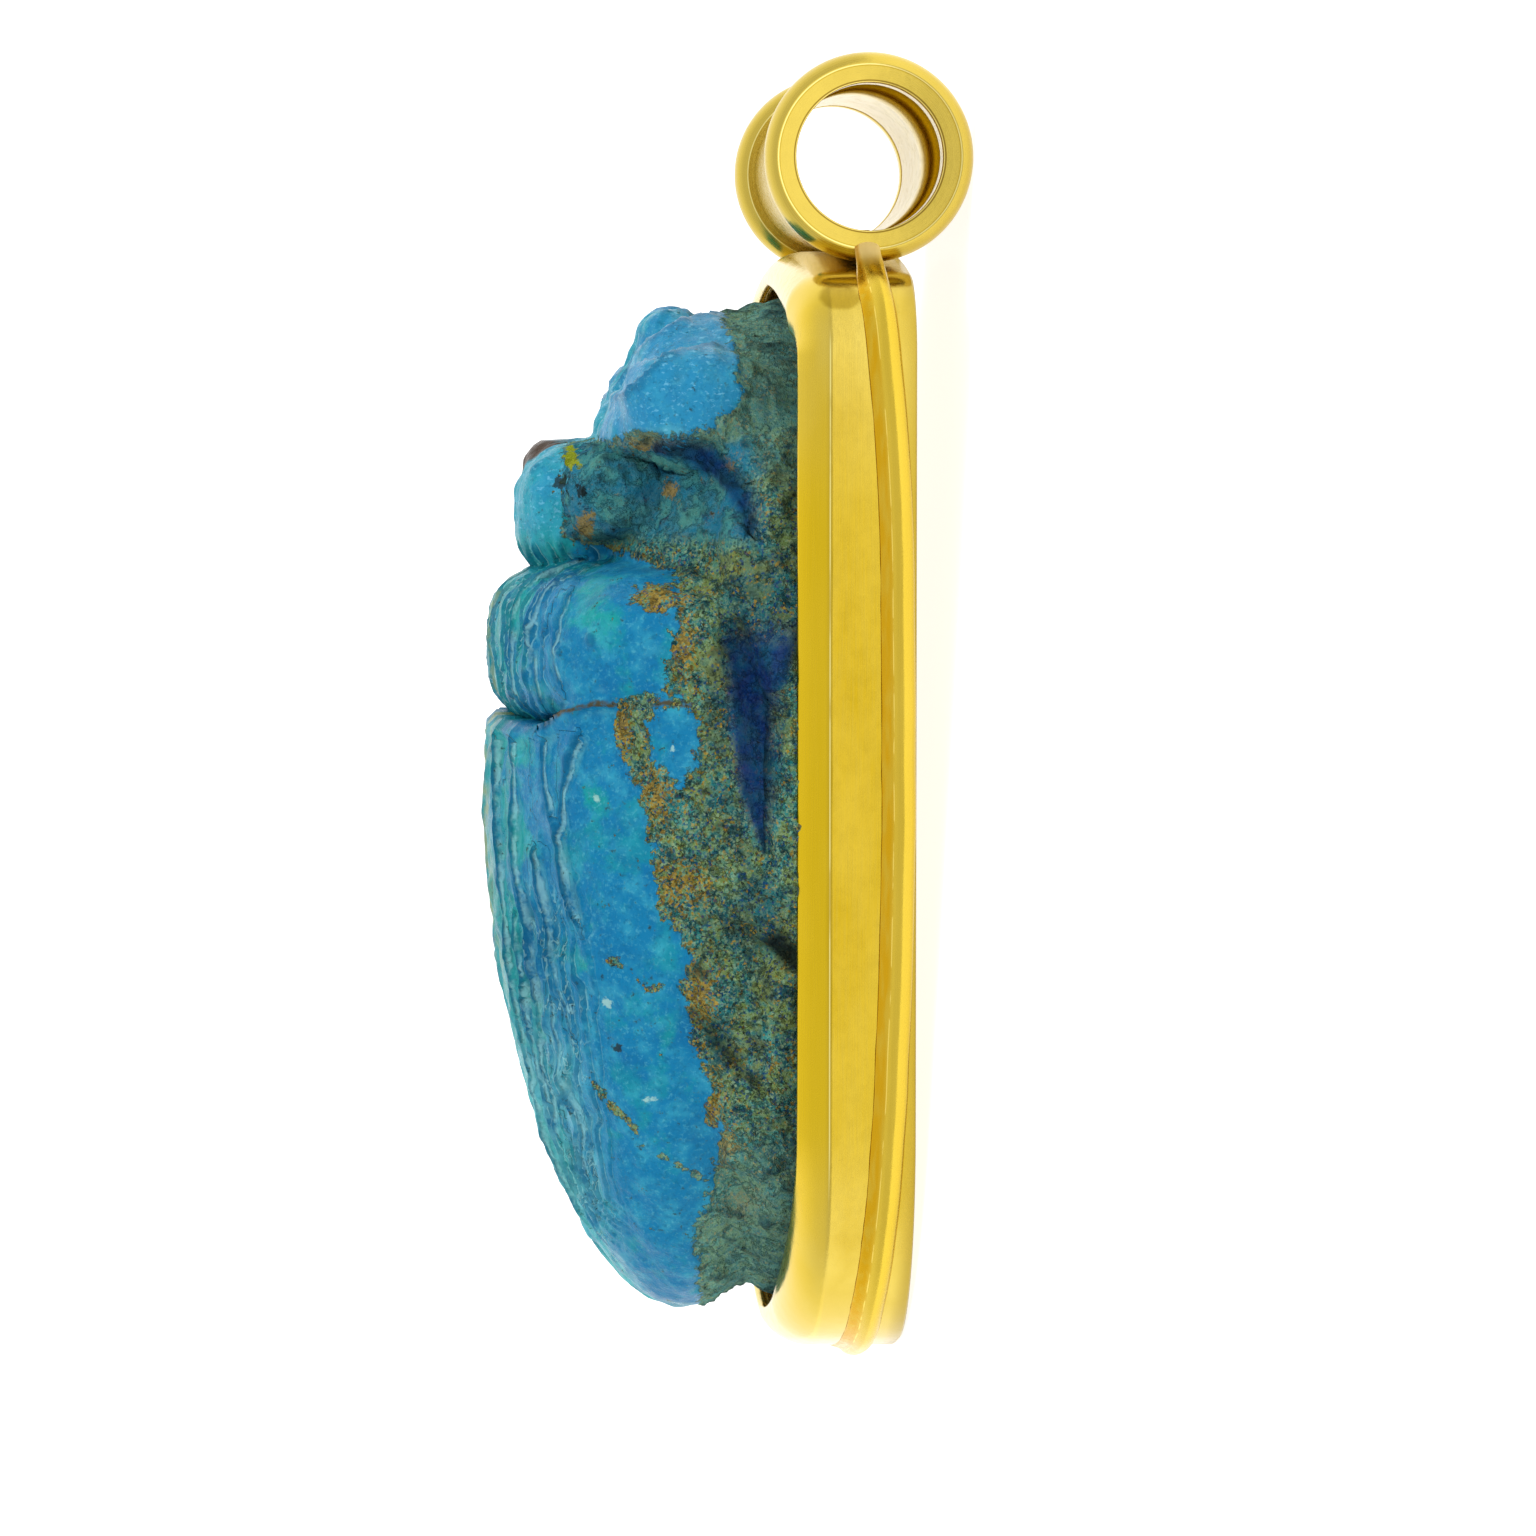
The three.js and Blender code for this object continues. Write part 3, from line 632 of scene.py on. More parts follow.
BAND = Sizes(
    half_width=15.85, top_y=23.85, lower_y=-24.15, top_end=70, top_corner=3.5,
    lower_end=34, lower_corner=10, sheet=0.45, edge=0.12, shoulder=3.6, rim=4.95,
    side_lean=0.85, end_lean=1.35, corner_lean=1.1, top_rise=0.35, lower_rise=0.6,
)
SEAT = Sizes(y=21.6, z=3.15, half_y=0.65, half_z=1.05)  # where the bail is soldered to the corner
WIRE = Sizes(radius=0.5, sunk=0.04, height=0.53, rise=1.25, leaves_at_x=14.1, lap_top=24.55)
FILLET = [(0.21, 0.47), (0.15, 0.58), (0.11, 0.72), (0.07, 0.88), (-0.04, 0.98)]  # (out, up)
BAIL = Sizes(bore=3.12, tube=3.58, waist=0.12, liner=3.5, roll=0.62)
COLLAR_FACE = [  # (radius, depth below the outer end) from the roll in to the bore
    (3.93, 0.02), (3.9, 0.05), (3.84, 0.055), (3.5, 0.1), (3.25, 0.12), (3.18, 0.13),
    (3.15, 0.14), (BAIL.bore, 0.17),
]


def quarter_outline(length, end, corner, spacing):
    """Points (x, y, nx, ny) from the middle of an end to the middle of a side, in Y up."""
    cx = BAND.half_width - corner
    end_y = length - end
    cy = end_y + math.sqrt((end - corner) ** 2 - cx**2)
    turn = math.atan2(cy - end_y, cx)
    arcs = [(0, end_y, end, math.pi / 2, turn), (cx, cy, corner, turn, 0)]
    rows = []
    for ax, ay, radius, start, stop in arcs:
        count = math.ceil(radius * (start - stop) / spacing)
        for angle in np.linspace(start, stop, count, endpoint=False):
            nx, ny = math.cos(angle), math.sin(angle)
            rows.append((ax + radius * nx, ay + radius * ny, nx, ny))
    side = np.linspace(cy, 0, math.ceil(cy / (2 * spacing)), endpoint=False)
    rows += [(BAND.half_width, y, 1, 0) for y in side]
    return np.array(rows)


def half_outline(spacing=0.45):
    """The right-hand half of the band's outline, from the bail's end to the lower end."""
    top = quarter_outline(BAND.top_y, BAND.top_end, BAND.top_corner, spacing)
    lower = quarter_outline(-BAND.lower_y, BAND.lower_end, BAND.lower_corner, spacing)
    lower = lower[::-1] * (1, -1, 1, -1)
    middle = [(BAND.half_width, 0, 1, 0)]
    return np.vstack([top, middle, lower])


def lip_curve(rolled):
    """The lip from its foot (0, 0) to its edge (1, 1): folded straight, or rolled over."""
    share = np.linspace(0, 1, 15)
    turn = np.radians(90 * share)
    arc = np.stack([1 - np.cos(turn), np.sin(turn)], 1)
    bulge = np.sin(math.pi * share)
    fold = np.stack([share - 0.08 * bulge, share + 0.05 * bulge], 1)
    return fold + (arc - fold) * rolled


def band_section(row):
    """Points round the band's cross-section at a place on its outline."""
    x, y, nx, ny = row
    shoulder, sheet, edge = BAND.shoulder, BAND.sheet, BAND.edge
    lean = BAND.side_lean * nx**2 + BAND.end_lean * ny**2
    lean += BAND.corner_lean * abs(2 * nx * ny)
    rise = BAND.top_rise if y > 0 else BAND.lower_rise
    rim = BAND.rim + rise * ny**2
    # The lip is folded over a crease along the sides and rolled over at the ends.
    curve = lip_curve(ramp(abs(ny), 0.05, 0.7))
    wall = np.stack([np.zeros(6), np.linspace(edge, shoulder - 0.1, 6)], 1)
    outer = curve * (lean, rim - shoulder) + (0, shoulder)
    turn = np.radians(np.linspace(60, -90, 6))
    tip = np.stack([0.03 + 0.09 * np.cos(turn), sheet / 2 * (np.sin(turn) - 1)], 1) + (lean, rim)
    inner = curve * (lean, rim - sheet - shoulder) + (sheet, shoulder)
    foot = [(sheet, 0), (edge, 0)]
    distance, z = np.vstack([wall, outer, tip, inner[::-1][2:], foot]).T
    return np.stack([x - nx * distance, y - ny * distance, z], 1)


def add_band(material):
    right = half_outline()
    outline = np.vstack([right, right[1:-1][::-1] * (-1, 1, -1, 1)])
    points = np.stack([band_section(row) for row in outline])
    faces = grid_faces(*points.shape[:2], close_rows=True)
    _, y, z = np.moveaxis(points, -1, 0)
    marks = dict(
        band=np.ones(y.shape),
        # The ends, the crease, the lip and the narrowing towards the ends steer the gold's painted
        # highlight and painted reflection colours.
        ends=np.abs(outline[:, 3])[:, None] * np.ones(y.shape),
        crease=z - BAND.shoulder,
        lip=ramp(z, BAND.shoulder, BAND.shoulder + 0.2),
        end_highlight=ramp(np.abs(y), 12, 21),
        foot=ramp(0.5 - z, 0, 0.3),
        seat=1 - np.hypot((y - SEAT.y) / SEAT.half_y, (z - SEAT.z) / SEAT.half_z),
    )
    piece = add_piece("bezel_band_burnished", points, faces[:, ::-1], material, marks, ["bezel_band"])


def wire_height(y):
    """Height of the wire's middle, which climbs towards both ends of the band."""
    share = abs(y) / (BAND.top_y if y > 0 else -BAND.lower_y)
    return WIRE.height + WIRE.rise * share ** (3.3 if y > 0 else 1.9)


def wire_route():
    """Places (x, y, nx, ny) along the wire from one collar round the band to the other."""
    right = half_outline()
    right = right[(right[:, 1] < 0) | (right[:, 0] > WIRE.leaves_at_x)]
    x, y, nx, ny = right[0]
    # Past the corner the wire leaves the band and runs up on to the outer face of the collar.
    collar_x = size_of("bail_tube").x / 2 + 0.1
    lap = []
    for share in np.linspace(1, 0.1, 9):
        bend = math.atan2(ny, nx) * (1 - share) ** 2
        out = x + (collar_x - x) * share + 0.25 * math.sin(math.pi * share)
        lap.append((out, y + (WIRE.lap_top - y) * share, math.cos(bend), math.sin(bend)))
    right = np.vstack([lap, right])
    return np.vstack([right, right[:-1][::-1] * (-1, 1, -1, 1)])


def add_wire(material):
    """The half-round wire, with the rough fillet of solder along its front side."""
    wobble, rough = Noise(5), Noise(7)
    turn = np.radians(np.linspace(-100, 50, 15))
    fillet_out, fillet_up = np.array(FILLET).T
    round_up = 0.45  # up to here the fillet follows the wire
    rows = []
    for x, y, nx, ny in wire_route():
        size = math.sqrt(1 - 0.8 * ramp(y, 23.8, WIRE.lap_top))
        spread_up = 0.25 + 0.75 * ramp(23.6 - y, 0, 2)
        flow = size * (round_up + (fillet_up - round_up) * spread_up)
        radius = WIRE.radius * size
        out = np.append(radius * np.cos(turn) - WIRE.sunk, fillet_out * size)
        up = np.append(radius * np.sin(turn), flow)
        place = np.stack([np.full(len(out), x), np.full(len(out), y), up], 1)
        out[len(turn) :] += 0.03 * rough(place, (0.5, 0.7, 0.25))[len(turn) :]
        z = wire_height(min(y, 23.4)) + 0.03 * wobble(np.array([x, y, 0.0]), 2.5)
        rows.append(np.stack([x + nx * out, y + ny * out, z + up], 1))
    points = np.stack(rows)
    faces = grid_faces(*points.shape[:2])
    marks = dict(
        wire=np.ones(points.shape[:2]),
        solder=np.tile(np.append(np.zeros(len(turn)), [0.6, 1, 1, 1, 1]), (len(rows), 1)),
        lap=ramp(points[..., 1], 22.8, 23.7),
    )
    piece = add_piece("side_wire_round", points, faces, material, marks, ["side_wire"])


def turned(profile, centre, turns=128):
    """Points of a profile of (radius, place along the bail) turned round the bail's axis."""
    angle = np.radians(np.linspace(0, 360, turns, endpoint=False))
    radius, along = np.array(profile).T
    y, z = centre.y + radius[:, None] * np.cos(angle), centre.z + radius[:, None] * np.sin(angle)
    return np.stack([along[:, None] * np.ones(turns), y, z], axis=-1)


def add_tube(material, centre):
    half = size_of("bail_tube").x / 2
    share = np.linspace(0, 1, 25)
    waist = np.stack([BAIL.tube - BAIL.waist * np.sin(math.pi * share), half * (2 * share - 1)], 1)
    points = turned([(BAIL.bore, half), (BAIL.bore, -half), *waist], centre)
    faces = grid_faces(*points.shape[:2], close_rows=True)
    piece = add_piece("bail_tube_rolled", points, faces, material, replaces=["bail_tube"])


def add_collar(material, centre, node, side):
    """A fat roll outside, a low step, a slightly hollow face and the lip of the liner."""
    low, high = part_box(node)
    inner, outer = sorted([abs(low.x) / MM, abs(high.x) / MM])
    top = size_of(node).y / 2
    turn = np.radians(np.linspace(-100, 78, 22))
    reach = top - BAIL.roll * (1 - np.cos(turn))
    roll = np.stack([reach, (inner + outer) / 2 + (outer - inner) / 2 * np.sin(turn)], 1)
    face = [(radius, outer - depth) for radius, depth in COLLAR_FACE]
    profile = np.vstack([[(BAIL.bore, inner), (BAIL.liner, inner)], roll, face])
    points = turned([(radius, along * side) for radius, along in profile], centre)
    faces = grid_faces(*points.shape[:2], close_rows=True)
    faces = faces if side < 0 else faces[:, ::-1]
    ring = profile[:, 0][:, None] * np.ones(points.shape[1])
    ring[:2] = 3  # the hidden inner end takes no ring lines
    piece = add_piece(f"{node}_rolled", points, faces, material, dict(ring=ring), [node])


def add_bail(material):
    centre = centre_of("bail_tube")
    add_tube(material, centre)
    for side, node in ((1, "bail_collar_right"), (-1, "bail_collar_left")):
        add_collar(material, centre, node, side)


# ---- materials ---------------------------------------------------
# Colours are given as they look on screen, 0 to 255. The marks come from the pieces above.

# The colours for hollows and dips are painted shade; those for rims, lines and hatching are painted
# highlights.
GLAZE = dict(
    blue=(14, 110, 154), turquoise=(22, 138, 138), milky=(56, 156, 178), deep=(6, 88, 140),
    head=(54, 148, 188), speckle=(90, 176, 190), mottle=(10, 88, 120), hollow=(0, 66, 104),
    rim=(120, 196, 200), tail=(110, 194, 200), shaded_dip=(0, 70, 104), line=(150, 206, 208),
    hatch_highlight=(120, 192, 220), stain=(142, 148, 84), dirt=(70, 66, 50),
)
# The hollow colour is painted shade, the murky colour partly painted shade, and the wedge colours a
# deep blue darkened with painted shade.
CRUST = dict(
    teal=(42, 128, 130), olive=(108, 132, 76), shadow=(24, 56, 64), verdigris=(62, 150, 146),
    chalk=(136, 168, 136), cream=(150, 176, 140), murk_and_shade=(28, 68, 78), moss=(126, 134, 66),
    crack=(20, 40, 44), ochre=(112, 92, 34), pale_ochre=(172, 140, 50), blue=(20, 60, 112),
    black=(26, 34, 30), pale=(104, 158, 148), hollow=(14, 44, 54),
    wedge=(8, 40, 106), wedge_teal=(16, 76, 106),
)
RECESS = dict(blue=(28, 114, 146), teal=(66, 138, 136), dark=(20, 46, 84), tan=(150, 124, 60))
SPOTS = dict(
    shade=(20, 26, 26), pit=(26, 28, 24), chip=(166, 204, 192), yellow=(140, 150, 34),
    knob=(34, 24, 16), pale_knob=(80, 58, 42),
)
# Painted light among these: lip, pale, wire and lap stand for reflections; crease, liner, rim and the
# solder's bright line are painted highlights; groove and step are painted shade.
GOLD = dict(
    deep=(186, 155, 26), light=(197, 168, 48), streak=(212, 186, 74), lip=(232, 196, 32),
    pale=(224, 202, 106), foot=(176, 152, 60), seat=(150, 120, 12), wire=(232, 200, 72),
    lap=(255, 236, 176), solder=(218, 164, 6), seam_glint=(255, 226, 110), crease=(255, 240, 150),
    groove=(110, 76, 6), liner=(255, 236, 150), rim=(255, 240, 160), step=(176, 142, 24),
)
PAINTED_RING_LINES = [  # (radius, half width, colour) of the fine lines painted on the collars' faces: the dark ones painted shade, the bright ones painted highlights
    (3.21, 0.045, "groove"), (3.15, 0.02, "liner"), (3.89, 0.03, "rim"), (3.83, 0.02, "step"),
]


def new_material(name):
    material = bpy.data.materials.new(name)
    material.use_nodes = True
    tree = material.node_tree
    return material, Nodes(tree), tree.nodes["Principled BSDF"]


def linear(colour):
    """A colour as it looks on screen as Blender's linear values, with full opacity."""
    shares = [value / 255 for value in colour]
    low, high = 0.04045, 0.055
    return [s / 12.92 if s <= low else ((s + high) / (1 + high)) ** 2.4 for s in shares] + [1]


class Nodes:
    """Short ways to add and join shader nodes. A source is a socket, a number or a colour."""

    def __init__(self, tree):
        self.tree = tree
        world = self.new("ShaderNodeTexCoord").outputs["Object"]
        to_pendant = dict(Location=TO_PENDANT.translation, Rotation=TO_PENDANT.to_euler())
        place = self.new("ShaderNodeMapping", dict(Vector=world, **to_pendant))
        self.position = place.outputs[0]  # in the pendant's frame

    def new(self, kind, inputs=None, **settings):
        node = self.tree.nodes.new(kind)
        for name, value in settings.items():
            setattr(node, name, value)
        self.feed(node, inputs or {})
        return node

    def feed(self, node, inputs):
        for name, source in inputs.items():
            self.join(source, node.inputs[name])

    def join(self, source, socket):
        if isinstance(source, bpy.types.NodeSocket):
            self.tree.links.new(source, socket)
        else:
            socket.default_value = linear(source) if isinstance(source, tuple) else source

    def mark(self, name):
        return self.new("ShaderNodeAttribute", attribute_name=name).outputs["Fac"]

    def math(self, operation, a, b=0.0):
        return self.new("ShaderNodeMath", {0: a, 1: b}, operation=operation).outputs[0]

    plus = partialmethod(math, "ADD")
    minus = partialmethod(math, "SUBTRACT")
    times = partialmethod(math, "MULTIPLY")
    larger = partialmethod(math, "MAXIMUM")

    def apart(self, a, b):
        return self.math("ABSOLUTE", self.minus(a, b))

    def map(self, value, start, end, low=0.0, high=1.0):
        """From low to high, smoothly, as the value goes from start to end."""
        inputs = dict(enumerate((value, start, end, low, high)))
        node = self.new("ShaderNodeMapRange", inputs, interpolation_type="SMOOTHSTEP")
        return node.outputs[0]

    def noise(self, size, detail, roughness=0.5, stretch=(1, 1, 1)):
        """Noise with features of a size in millimetres, 0 to 1."""
        scale = [1 / (size * MM * s) for s in stretch]
        place = self.new("ShaderNodeMapping", dict(Vector=self.position, Scale=scale))
        inputs = dict(Vector=place.outputs[0], Scale=1, Detail=detail, Roughness=roughness)
        return self.new("ShaderNodeTexNoise", inputs).outputs["Fac"]

    def cloud(self, size, detail, start, end, low=0.0, high=1.0, roughness=0.5):
        """From low to high, as noise of a size goes from start to end."""
        return self.map(self.noise(size, detail, roughness), start, end, low, high)

    def random_cells(self, size):
        """Three random numbers, 0 to 1, for each grain of a size in millimetres."""
        inputs = dict(Vector=self.position, Scale=1 / (size * MM))
        node = self.new("ShaderNodeTexVoronoi", inputs)
        return self.new("ShaderNodeSeparateColor", {0: node.outputs["Color"]}).outputs

    def mix(self, share, a, b):
        return self.new("ShaderNodeMix", {0: share, 6: a, 7: b}, data_type="RGBA").outputs[2]

    def blend(self, share, a, b):
        """A number between two numbers."""
        return self.plus(a, self.times(share, self.minus(b, a)))

    def bump(self, height, distance, normal=None):
        below = {} if normal is None else dict(Normal=normal)
        inputs = dict(Strength=1, Distance=distance * MM, Height=height, **below)
        return self.new("ShaderNodeBump", inputs).outputs[0]


class Layers:
    """A colour built up in layers of the colours in a set."""

    def __init__(self, nodes, colours, base):
        self.nodes, self.colours, self.top = nodes, colours, base

    def lay(self, name, share, strength=1):
        if strength != 1:
            share = self.nodes.times(share, strength)
        self.top = self.nodes.mix(share, self.top, self.colours[name])

    def mottle(self, name, size, detail, start, end, most, roughness=0.5):
        """Patches of a colour, as noise of a size goes from start to end."""
        self.lay(name, self.nodes.cloud(size, detail, start, end, 0, most, roughness))


def glaze_lines(n):
    """Painted highlights: pale lines on the raised edges of the ridges and folds and on fine creases;
    and painted shade in the dips beside them.
    """
    ridge, folds_shown = n.mark("ridge"), n.mark("folds_shown")
    broken = n.cloud(0.8, 3, 0.3, 0.6, roughness=0.6)
    shaded_dip = n.times(n.map(ridge, -0.6, -0.08), n.map(ridge, 0.02, -0.06))
    line = n.times(n.map(n.math("ABSOLUTE", ridge), 0.08, 0.02), broken)
    phase = n.math("FRACT", n.mark("wavy"))
    shaded_dip = n.larger(shaded_dip, n.times(n.map(phase, 0.5, 0.95), folds_shown))
    line = n.larger(line, n.times(n.map(phase, 0.1, 0.02), n.times(folds_shown, broken)))
    crease = n.apart(n.noise(1.2, 3, 0.6, (0.8, 1.6, 0.8)), 0.5)
    crease = n.times(n.map(crease, 0.03, 0.006), n.mark("wrinkled"))
    crease = n.times(crease, n.cloud(1.1, 2, 0.4, 0.6))
    return n.larger(line, crease), shaded_dip


def joint_dirt(n):
    """A thin broken line of dirt in the joint behind the pronotum, low on the flank."""
    away = n.math("ABSOLUTE", n.plus(n.mark("suture"), n.cloud(0.4, 3, 0, 1, -0.12, 0.12)))
    dirt = n.times(n.map(away, 0.22, 0.06), n.map(n.mark("angle"), 0.45, 0.52))
    return n.times(dirt, n.cloud(0.5, 3, 0.3, 0.5))


def glaze_colour(n, line, shaded_dip):
    """Blue with turquoise towards the crest, mottled, and paler on the head and tail, with painted
    shade in hollows and dips and painted highlights on raised edges, lines and hatching.
    """
    edge, head = n.mark("edge"), n.mark("head")
    green = n.cloud(2.4, 5, 0.35, 0.65, -0.5, 0.5, roughness=0.6)
    green = n.map(n.plus(n.mark("green"), green), 0.1, 0.9)
    glaze = Layers(n, GLAZE, n.mix(green, GLAZE["blue"], GLAZE["turquoise"]))
    glaze.mottle("milky", 0.9, 4, 0.45, 0.75, 0.55)
    glaze.mottle("deep", 1.7, 3, 0.5, 0.75, 0.5)
    glaze.lay("head", head, 0.4)
    glaze.mottle("speckle", 0.2, 3, 0.5, 0.75, 0.4, 0.7)
    glaze.mottle("mottle", 0.26, 4, 0.5, 0.3, 0.5, 0.7)
    # Painted shade in the hollows of the relief, painted highlight on its raised edges.
    glaze.lay("hollow", n.map(edge, -0.3, -1.4, 0, 0.4))
    glaze.lay("rim", n.map(edge, 0.5, 1.5, 0, 0.2))
    glaze.lay("tail", n.times(n.mark("tail"), n.cloud(0.7, 4, 0.35, 0.65, 0.1, 0.6)))
    # Painted shade in the dips and painted highlights along the lines.
    glaze.lay("shaded_dip", shaded_dip, 0.4)
    glaze.lay("line", line, 0.45)
    # Painted highlight: fine hatching on the head.
    hatch_highlight = n.noise(0.35, 4, 0.6, (1, 0.5, 0.8))
    glaze.lay("hatch_highlight", n.times(n.map(hatch_highlight, 0.56, 0.68, 0, 0.45), head))
    glaze.lay("stain", n.times(n.mark("stain"), n.cloud(1.4, 3, 0.42, 0.6, 0, 0.6)))
    glaze.lay("dirt", joint_dirt(n))
    return glaze.top


def ochre_share(n, grains):
    """Grains of ochre, crowded in its patches and along the edge of the crust."""
    share = n.plus(n.times(n.mark("ochre"), 0.9), n.cloud(1.4, 4, 0.5, 0.75, 0, 0.28))
    share = n.plus(share, n.map(n.mark("crust"), 1.2, 0, 0, 0.16))
    share = n.plus(share, n.cloud(0.3, 3, 0.35, 0.65, -0.2, 0.2))
    return n.map(n.minus(share, grains), -0.15, 0.15, 0, 0.85)


def recess_colour(n):
    """The thin, smoother crust in the recess beside the head."""
    base = n.mix(n.cloud(1.3, 3, 0.35, 0.65), RECESS["blue"], RECESS["teal"])
    recess = Layers(n, RECESS, base)
    recess.mottle("dark", 0.7, 5, 0.56, 0.66, 0.6, 0.7)
    tan = n.plus(n.mark("ochre"), n.cloud(0.8, 6, 0.3, 0.7, -0.8, 0.4, roughness=0.8))
    recess.lay("tan", n.map(tan, 0.2, 0.45, 0, 0.85))
    return recess.top


def crust_colour(n, crack):
    """Teal and olive earth, cracked, chalky and murky by turns, with coloured grains in it; its murky
    patches, the hollows of its relief and the deep blue hollow between the legs carry painted shade.
    """
    first, second, third = n.random_cells(0.1)
    olive = n.cloud(0.4, 3, 0.3, 0.7, -0.5, 0.5)
    olive = n.plus(n.cloud(1.6, 4, 0.35, 0.65), olive)
    crust = Layers(n, CRUST, n.mix(olive, CRUST["teal"], CRUST["olive"]))
    crust.mottle("shadow", 0.8, 5, 0.52, 0.4, 0.8, 0.75)
    crust.mottle("verdigris", 0.9, 5, 0.55, 0.65, 0.6, 0.7)
    crust.mottle("chalk", 0.17, 4, 0.5, 0.62, 0.5, 0.8)
    crust.lay("cream", n.map(first, 0.7, 0.95, 0, 0.5))
    # Murky clouds of the crust, darkened further with painted shade in the murky patches.
    murk_and_shade = n.larger(n.cloud(2.2, 4, 0.52, 0.64, 0, 0.4), n.times(n.mark("murk_and_shade"), 0.6))
    crust.lay("murk_and_shade", n.times(murk_and_shade, n.cloud(0.5, 4, 0.3, 0.5, 0.5, 1)))
    crust.mottle("moss", 1.9, 5, 0.54, 0.64, 0.45, 0.6)
    crust.lay("crack", crack, 0.5)
    ochre = n.mix(first, CRUST["ochre"], CRUST["pale_ochre"])
    crust.top = n.mix(ochre_share(n, second), crust.top, ochre)
    crust.lay("blue", n.map(third, 0.12, 0.06, 0, 0.7))
    crust.lay("black", n.map(third, 0.92, 0.97, 0, 0.7))
    crust.top = n.mix(n.times(n.mark("calm"), 0.85), crust.top, recess_colour(n))
    crust.lay("pale", n.mark("pale"), 0.5)
    # Deep blue in the hollow between the legs and the arched groove, darkened as painted shade.
    wedge = n.mix(n.cloud(1.1, 4, 0.35, 0.75), CRUST["wedge"], CRUST["wedge_teal"])
    crust.top = n.mix(n.times(n.mark("deep"), 0.92), crust.top, wedge)
    # Painted shade in the hollows of the relief.
    crust.lay("hollow", n.map(n.mark("edge"), -0.2, -1.5, 0, 0.6))
    return crust.top


def crust_share(n):
    """1 on the crust and its stray patches and veins, 0 on the glaze, with a ragged edge."""
    ragged = n.times(n.minus(n.noise(0.6, 6, 0.7), 0.5), 2.2)
    patch = n.minus(n.times(n.mark("ochre"), 1.6), 0.5)
    patch = n.larger(patch, n.minus(n.times(n.mark("vein"), 0.5), 0.4))
    return n.map(n.plus(n.larger(n.mark("crust"), patch), ragged), -0.05, 0.05)


def spotted(n, colour):
    """The colour with dark hollows, pits, chips, the brown knob and the yellow spot."""
    spots = Layers(n, SPOTS, colour)
    spots.lay("shade", n.mark("shade"), 0.9)
    pit = n.plus(n.mark("pit"), n.cloud(0.4, 4, 0.2, 0.8, -0.85, 0.42, roughness=0.7))
    spots.lay("pit", n.map(pit, 0.12, 0.4, 0, 0.85))
    chip = n.plus(n.mark("chip"), n.cloud(0.4, 4, 0.2, 0.8, -0.4, 0.2, roughness=0.7))
    spots.lay("chip", n.map(chip, 0.28, 0.5, 0, 0.6))
    knob = n.mix(n.noise(0.4, 3), SPOTS["knob"], SPOTS["pale_knob"])
    spots.top = n.mix(n.mark("brown"), spots.top, knob)
    yellow = n.plus(n.mark("yellow"), n.cloud(0.3, 3, 0.3, 0.7, -0.5, 0.15))
    spots.lay("yellow", n.map(yellow, 0.2, 0.5))
    return spots.top


def faience():
    """Worn blue glaze with an earthy crust over its lower part."""
    material, n, shader = new_material("faience")
    line, shaded_dip = glaze_lines(n)
    crack = n.map(n.apart(n.noise(1.3, 5, 0.7), 0.5), 0.03, 0)
    is_crust = crust_share(n)
    colour = n.mix(is_crust, glaze_colour(n, line, shaded_dip), crust_colour(n, crack))
    n.join(spotted(n, colour), shader.inputs["Base Color"])
    n.feed(shader, {"Specular IOR Level": 0.1, "Specular Tint": [0.75, 1, 0.92, 1]})
    rough = n.cloud(0.5, 3, 0.3, 0.7, 0.26, 0.44)
    n.join(n.plus(rough, n.times(is_crust, 0.6)), shader.inputs["Roughness"])
    bump = n.bump(n.noise(0.2, 3, 0.6), 0.045)
    bump = n.bump(n.minus(line, shaded_dip), 0.05, bump)
    grit = n.minus(n.noise(0.12, 3, 0.7), n.times(crack, 0.6))
    n.join(n.bump(n.times(grit, is_crust), 0.14, bump), shader.inputs["Normal"])
    return material


def brush_marks(n, ring, on_ring):
    """Fine streaks along the pieces, and round the faces of the collars."""
    turning = n.new("ShaderNodeTexNoise", noise_dimensions="1D")
    n.feed(turning, dict(W=n.times(ring, 9)))
    return n.blend(on_ring, n.noise(0.06, 3, stretch=(1, 50, 1)), turning.outputs["Fac"])


def add_sheet_colours(n, metal, cloud, streaks, on_ring, ends):
    """Deeper on the lip as a painted reflection colour, paler as a painted highlight where it turns
    away, towards the ends and on the collars, dull at the foot.
    """
    facing = n.new("ShaderNodeLayerWeight", dict(Blend=0.5))
    metal.lay("streak", n.map(streaks, 0.35, 0.65, 0, 0.2))
    # Painted reflection colour: the leaning lip is laid a deeper, brighter yellow.
    metal.lay("lip", n.mark("lip"), 0.75)
    # Painted highlight: paler towards the ends, at glancing angles, on the collars and where the band
    # narrows to its ends.
    pale = n.times(n.map(ends, 0.25, 0.95), 0.55)
    pale = n.larger(pale, n.map(facing.outputs["Facing"], 0.5, 0.95, 0, 0.4))
    pale = n.larger(pale, n.times(on_ring, 0.45))
    pale = n.larger(pale, n.times(n.mark("end_highlight"), n.map(cloud, 0.3, 0.7, 0.3, 0.6)))
    metal.lay("pale", pale)
    metal.lay("foot", n.mark("foot"), 0.6)
    metal.lay("seat", n.times(n.map(n.mark("seat"), 0.02, 0.3, 0, 0.6), n.mark("band")))


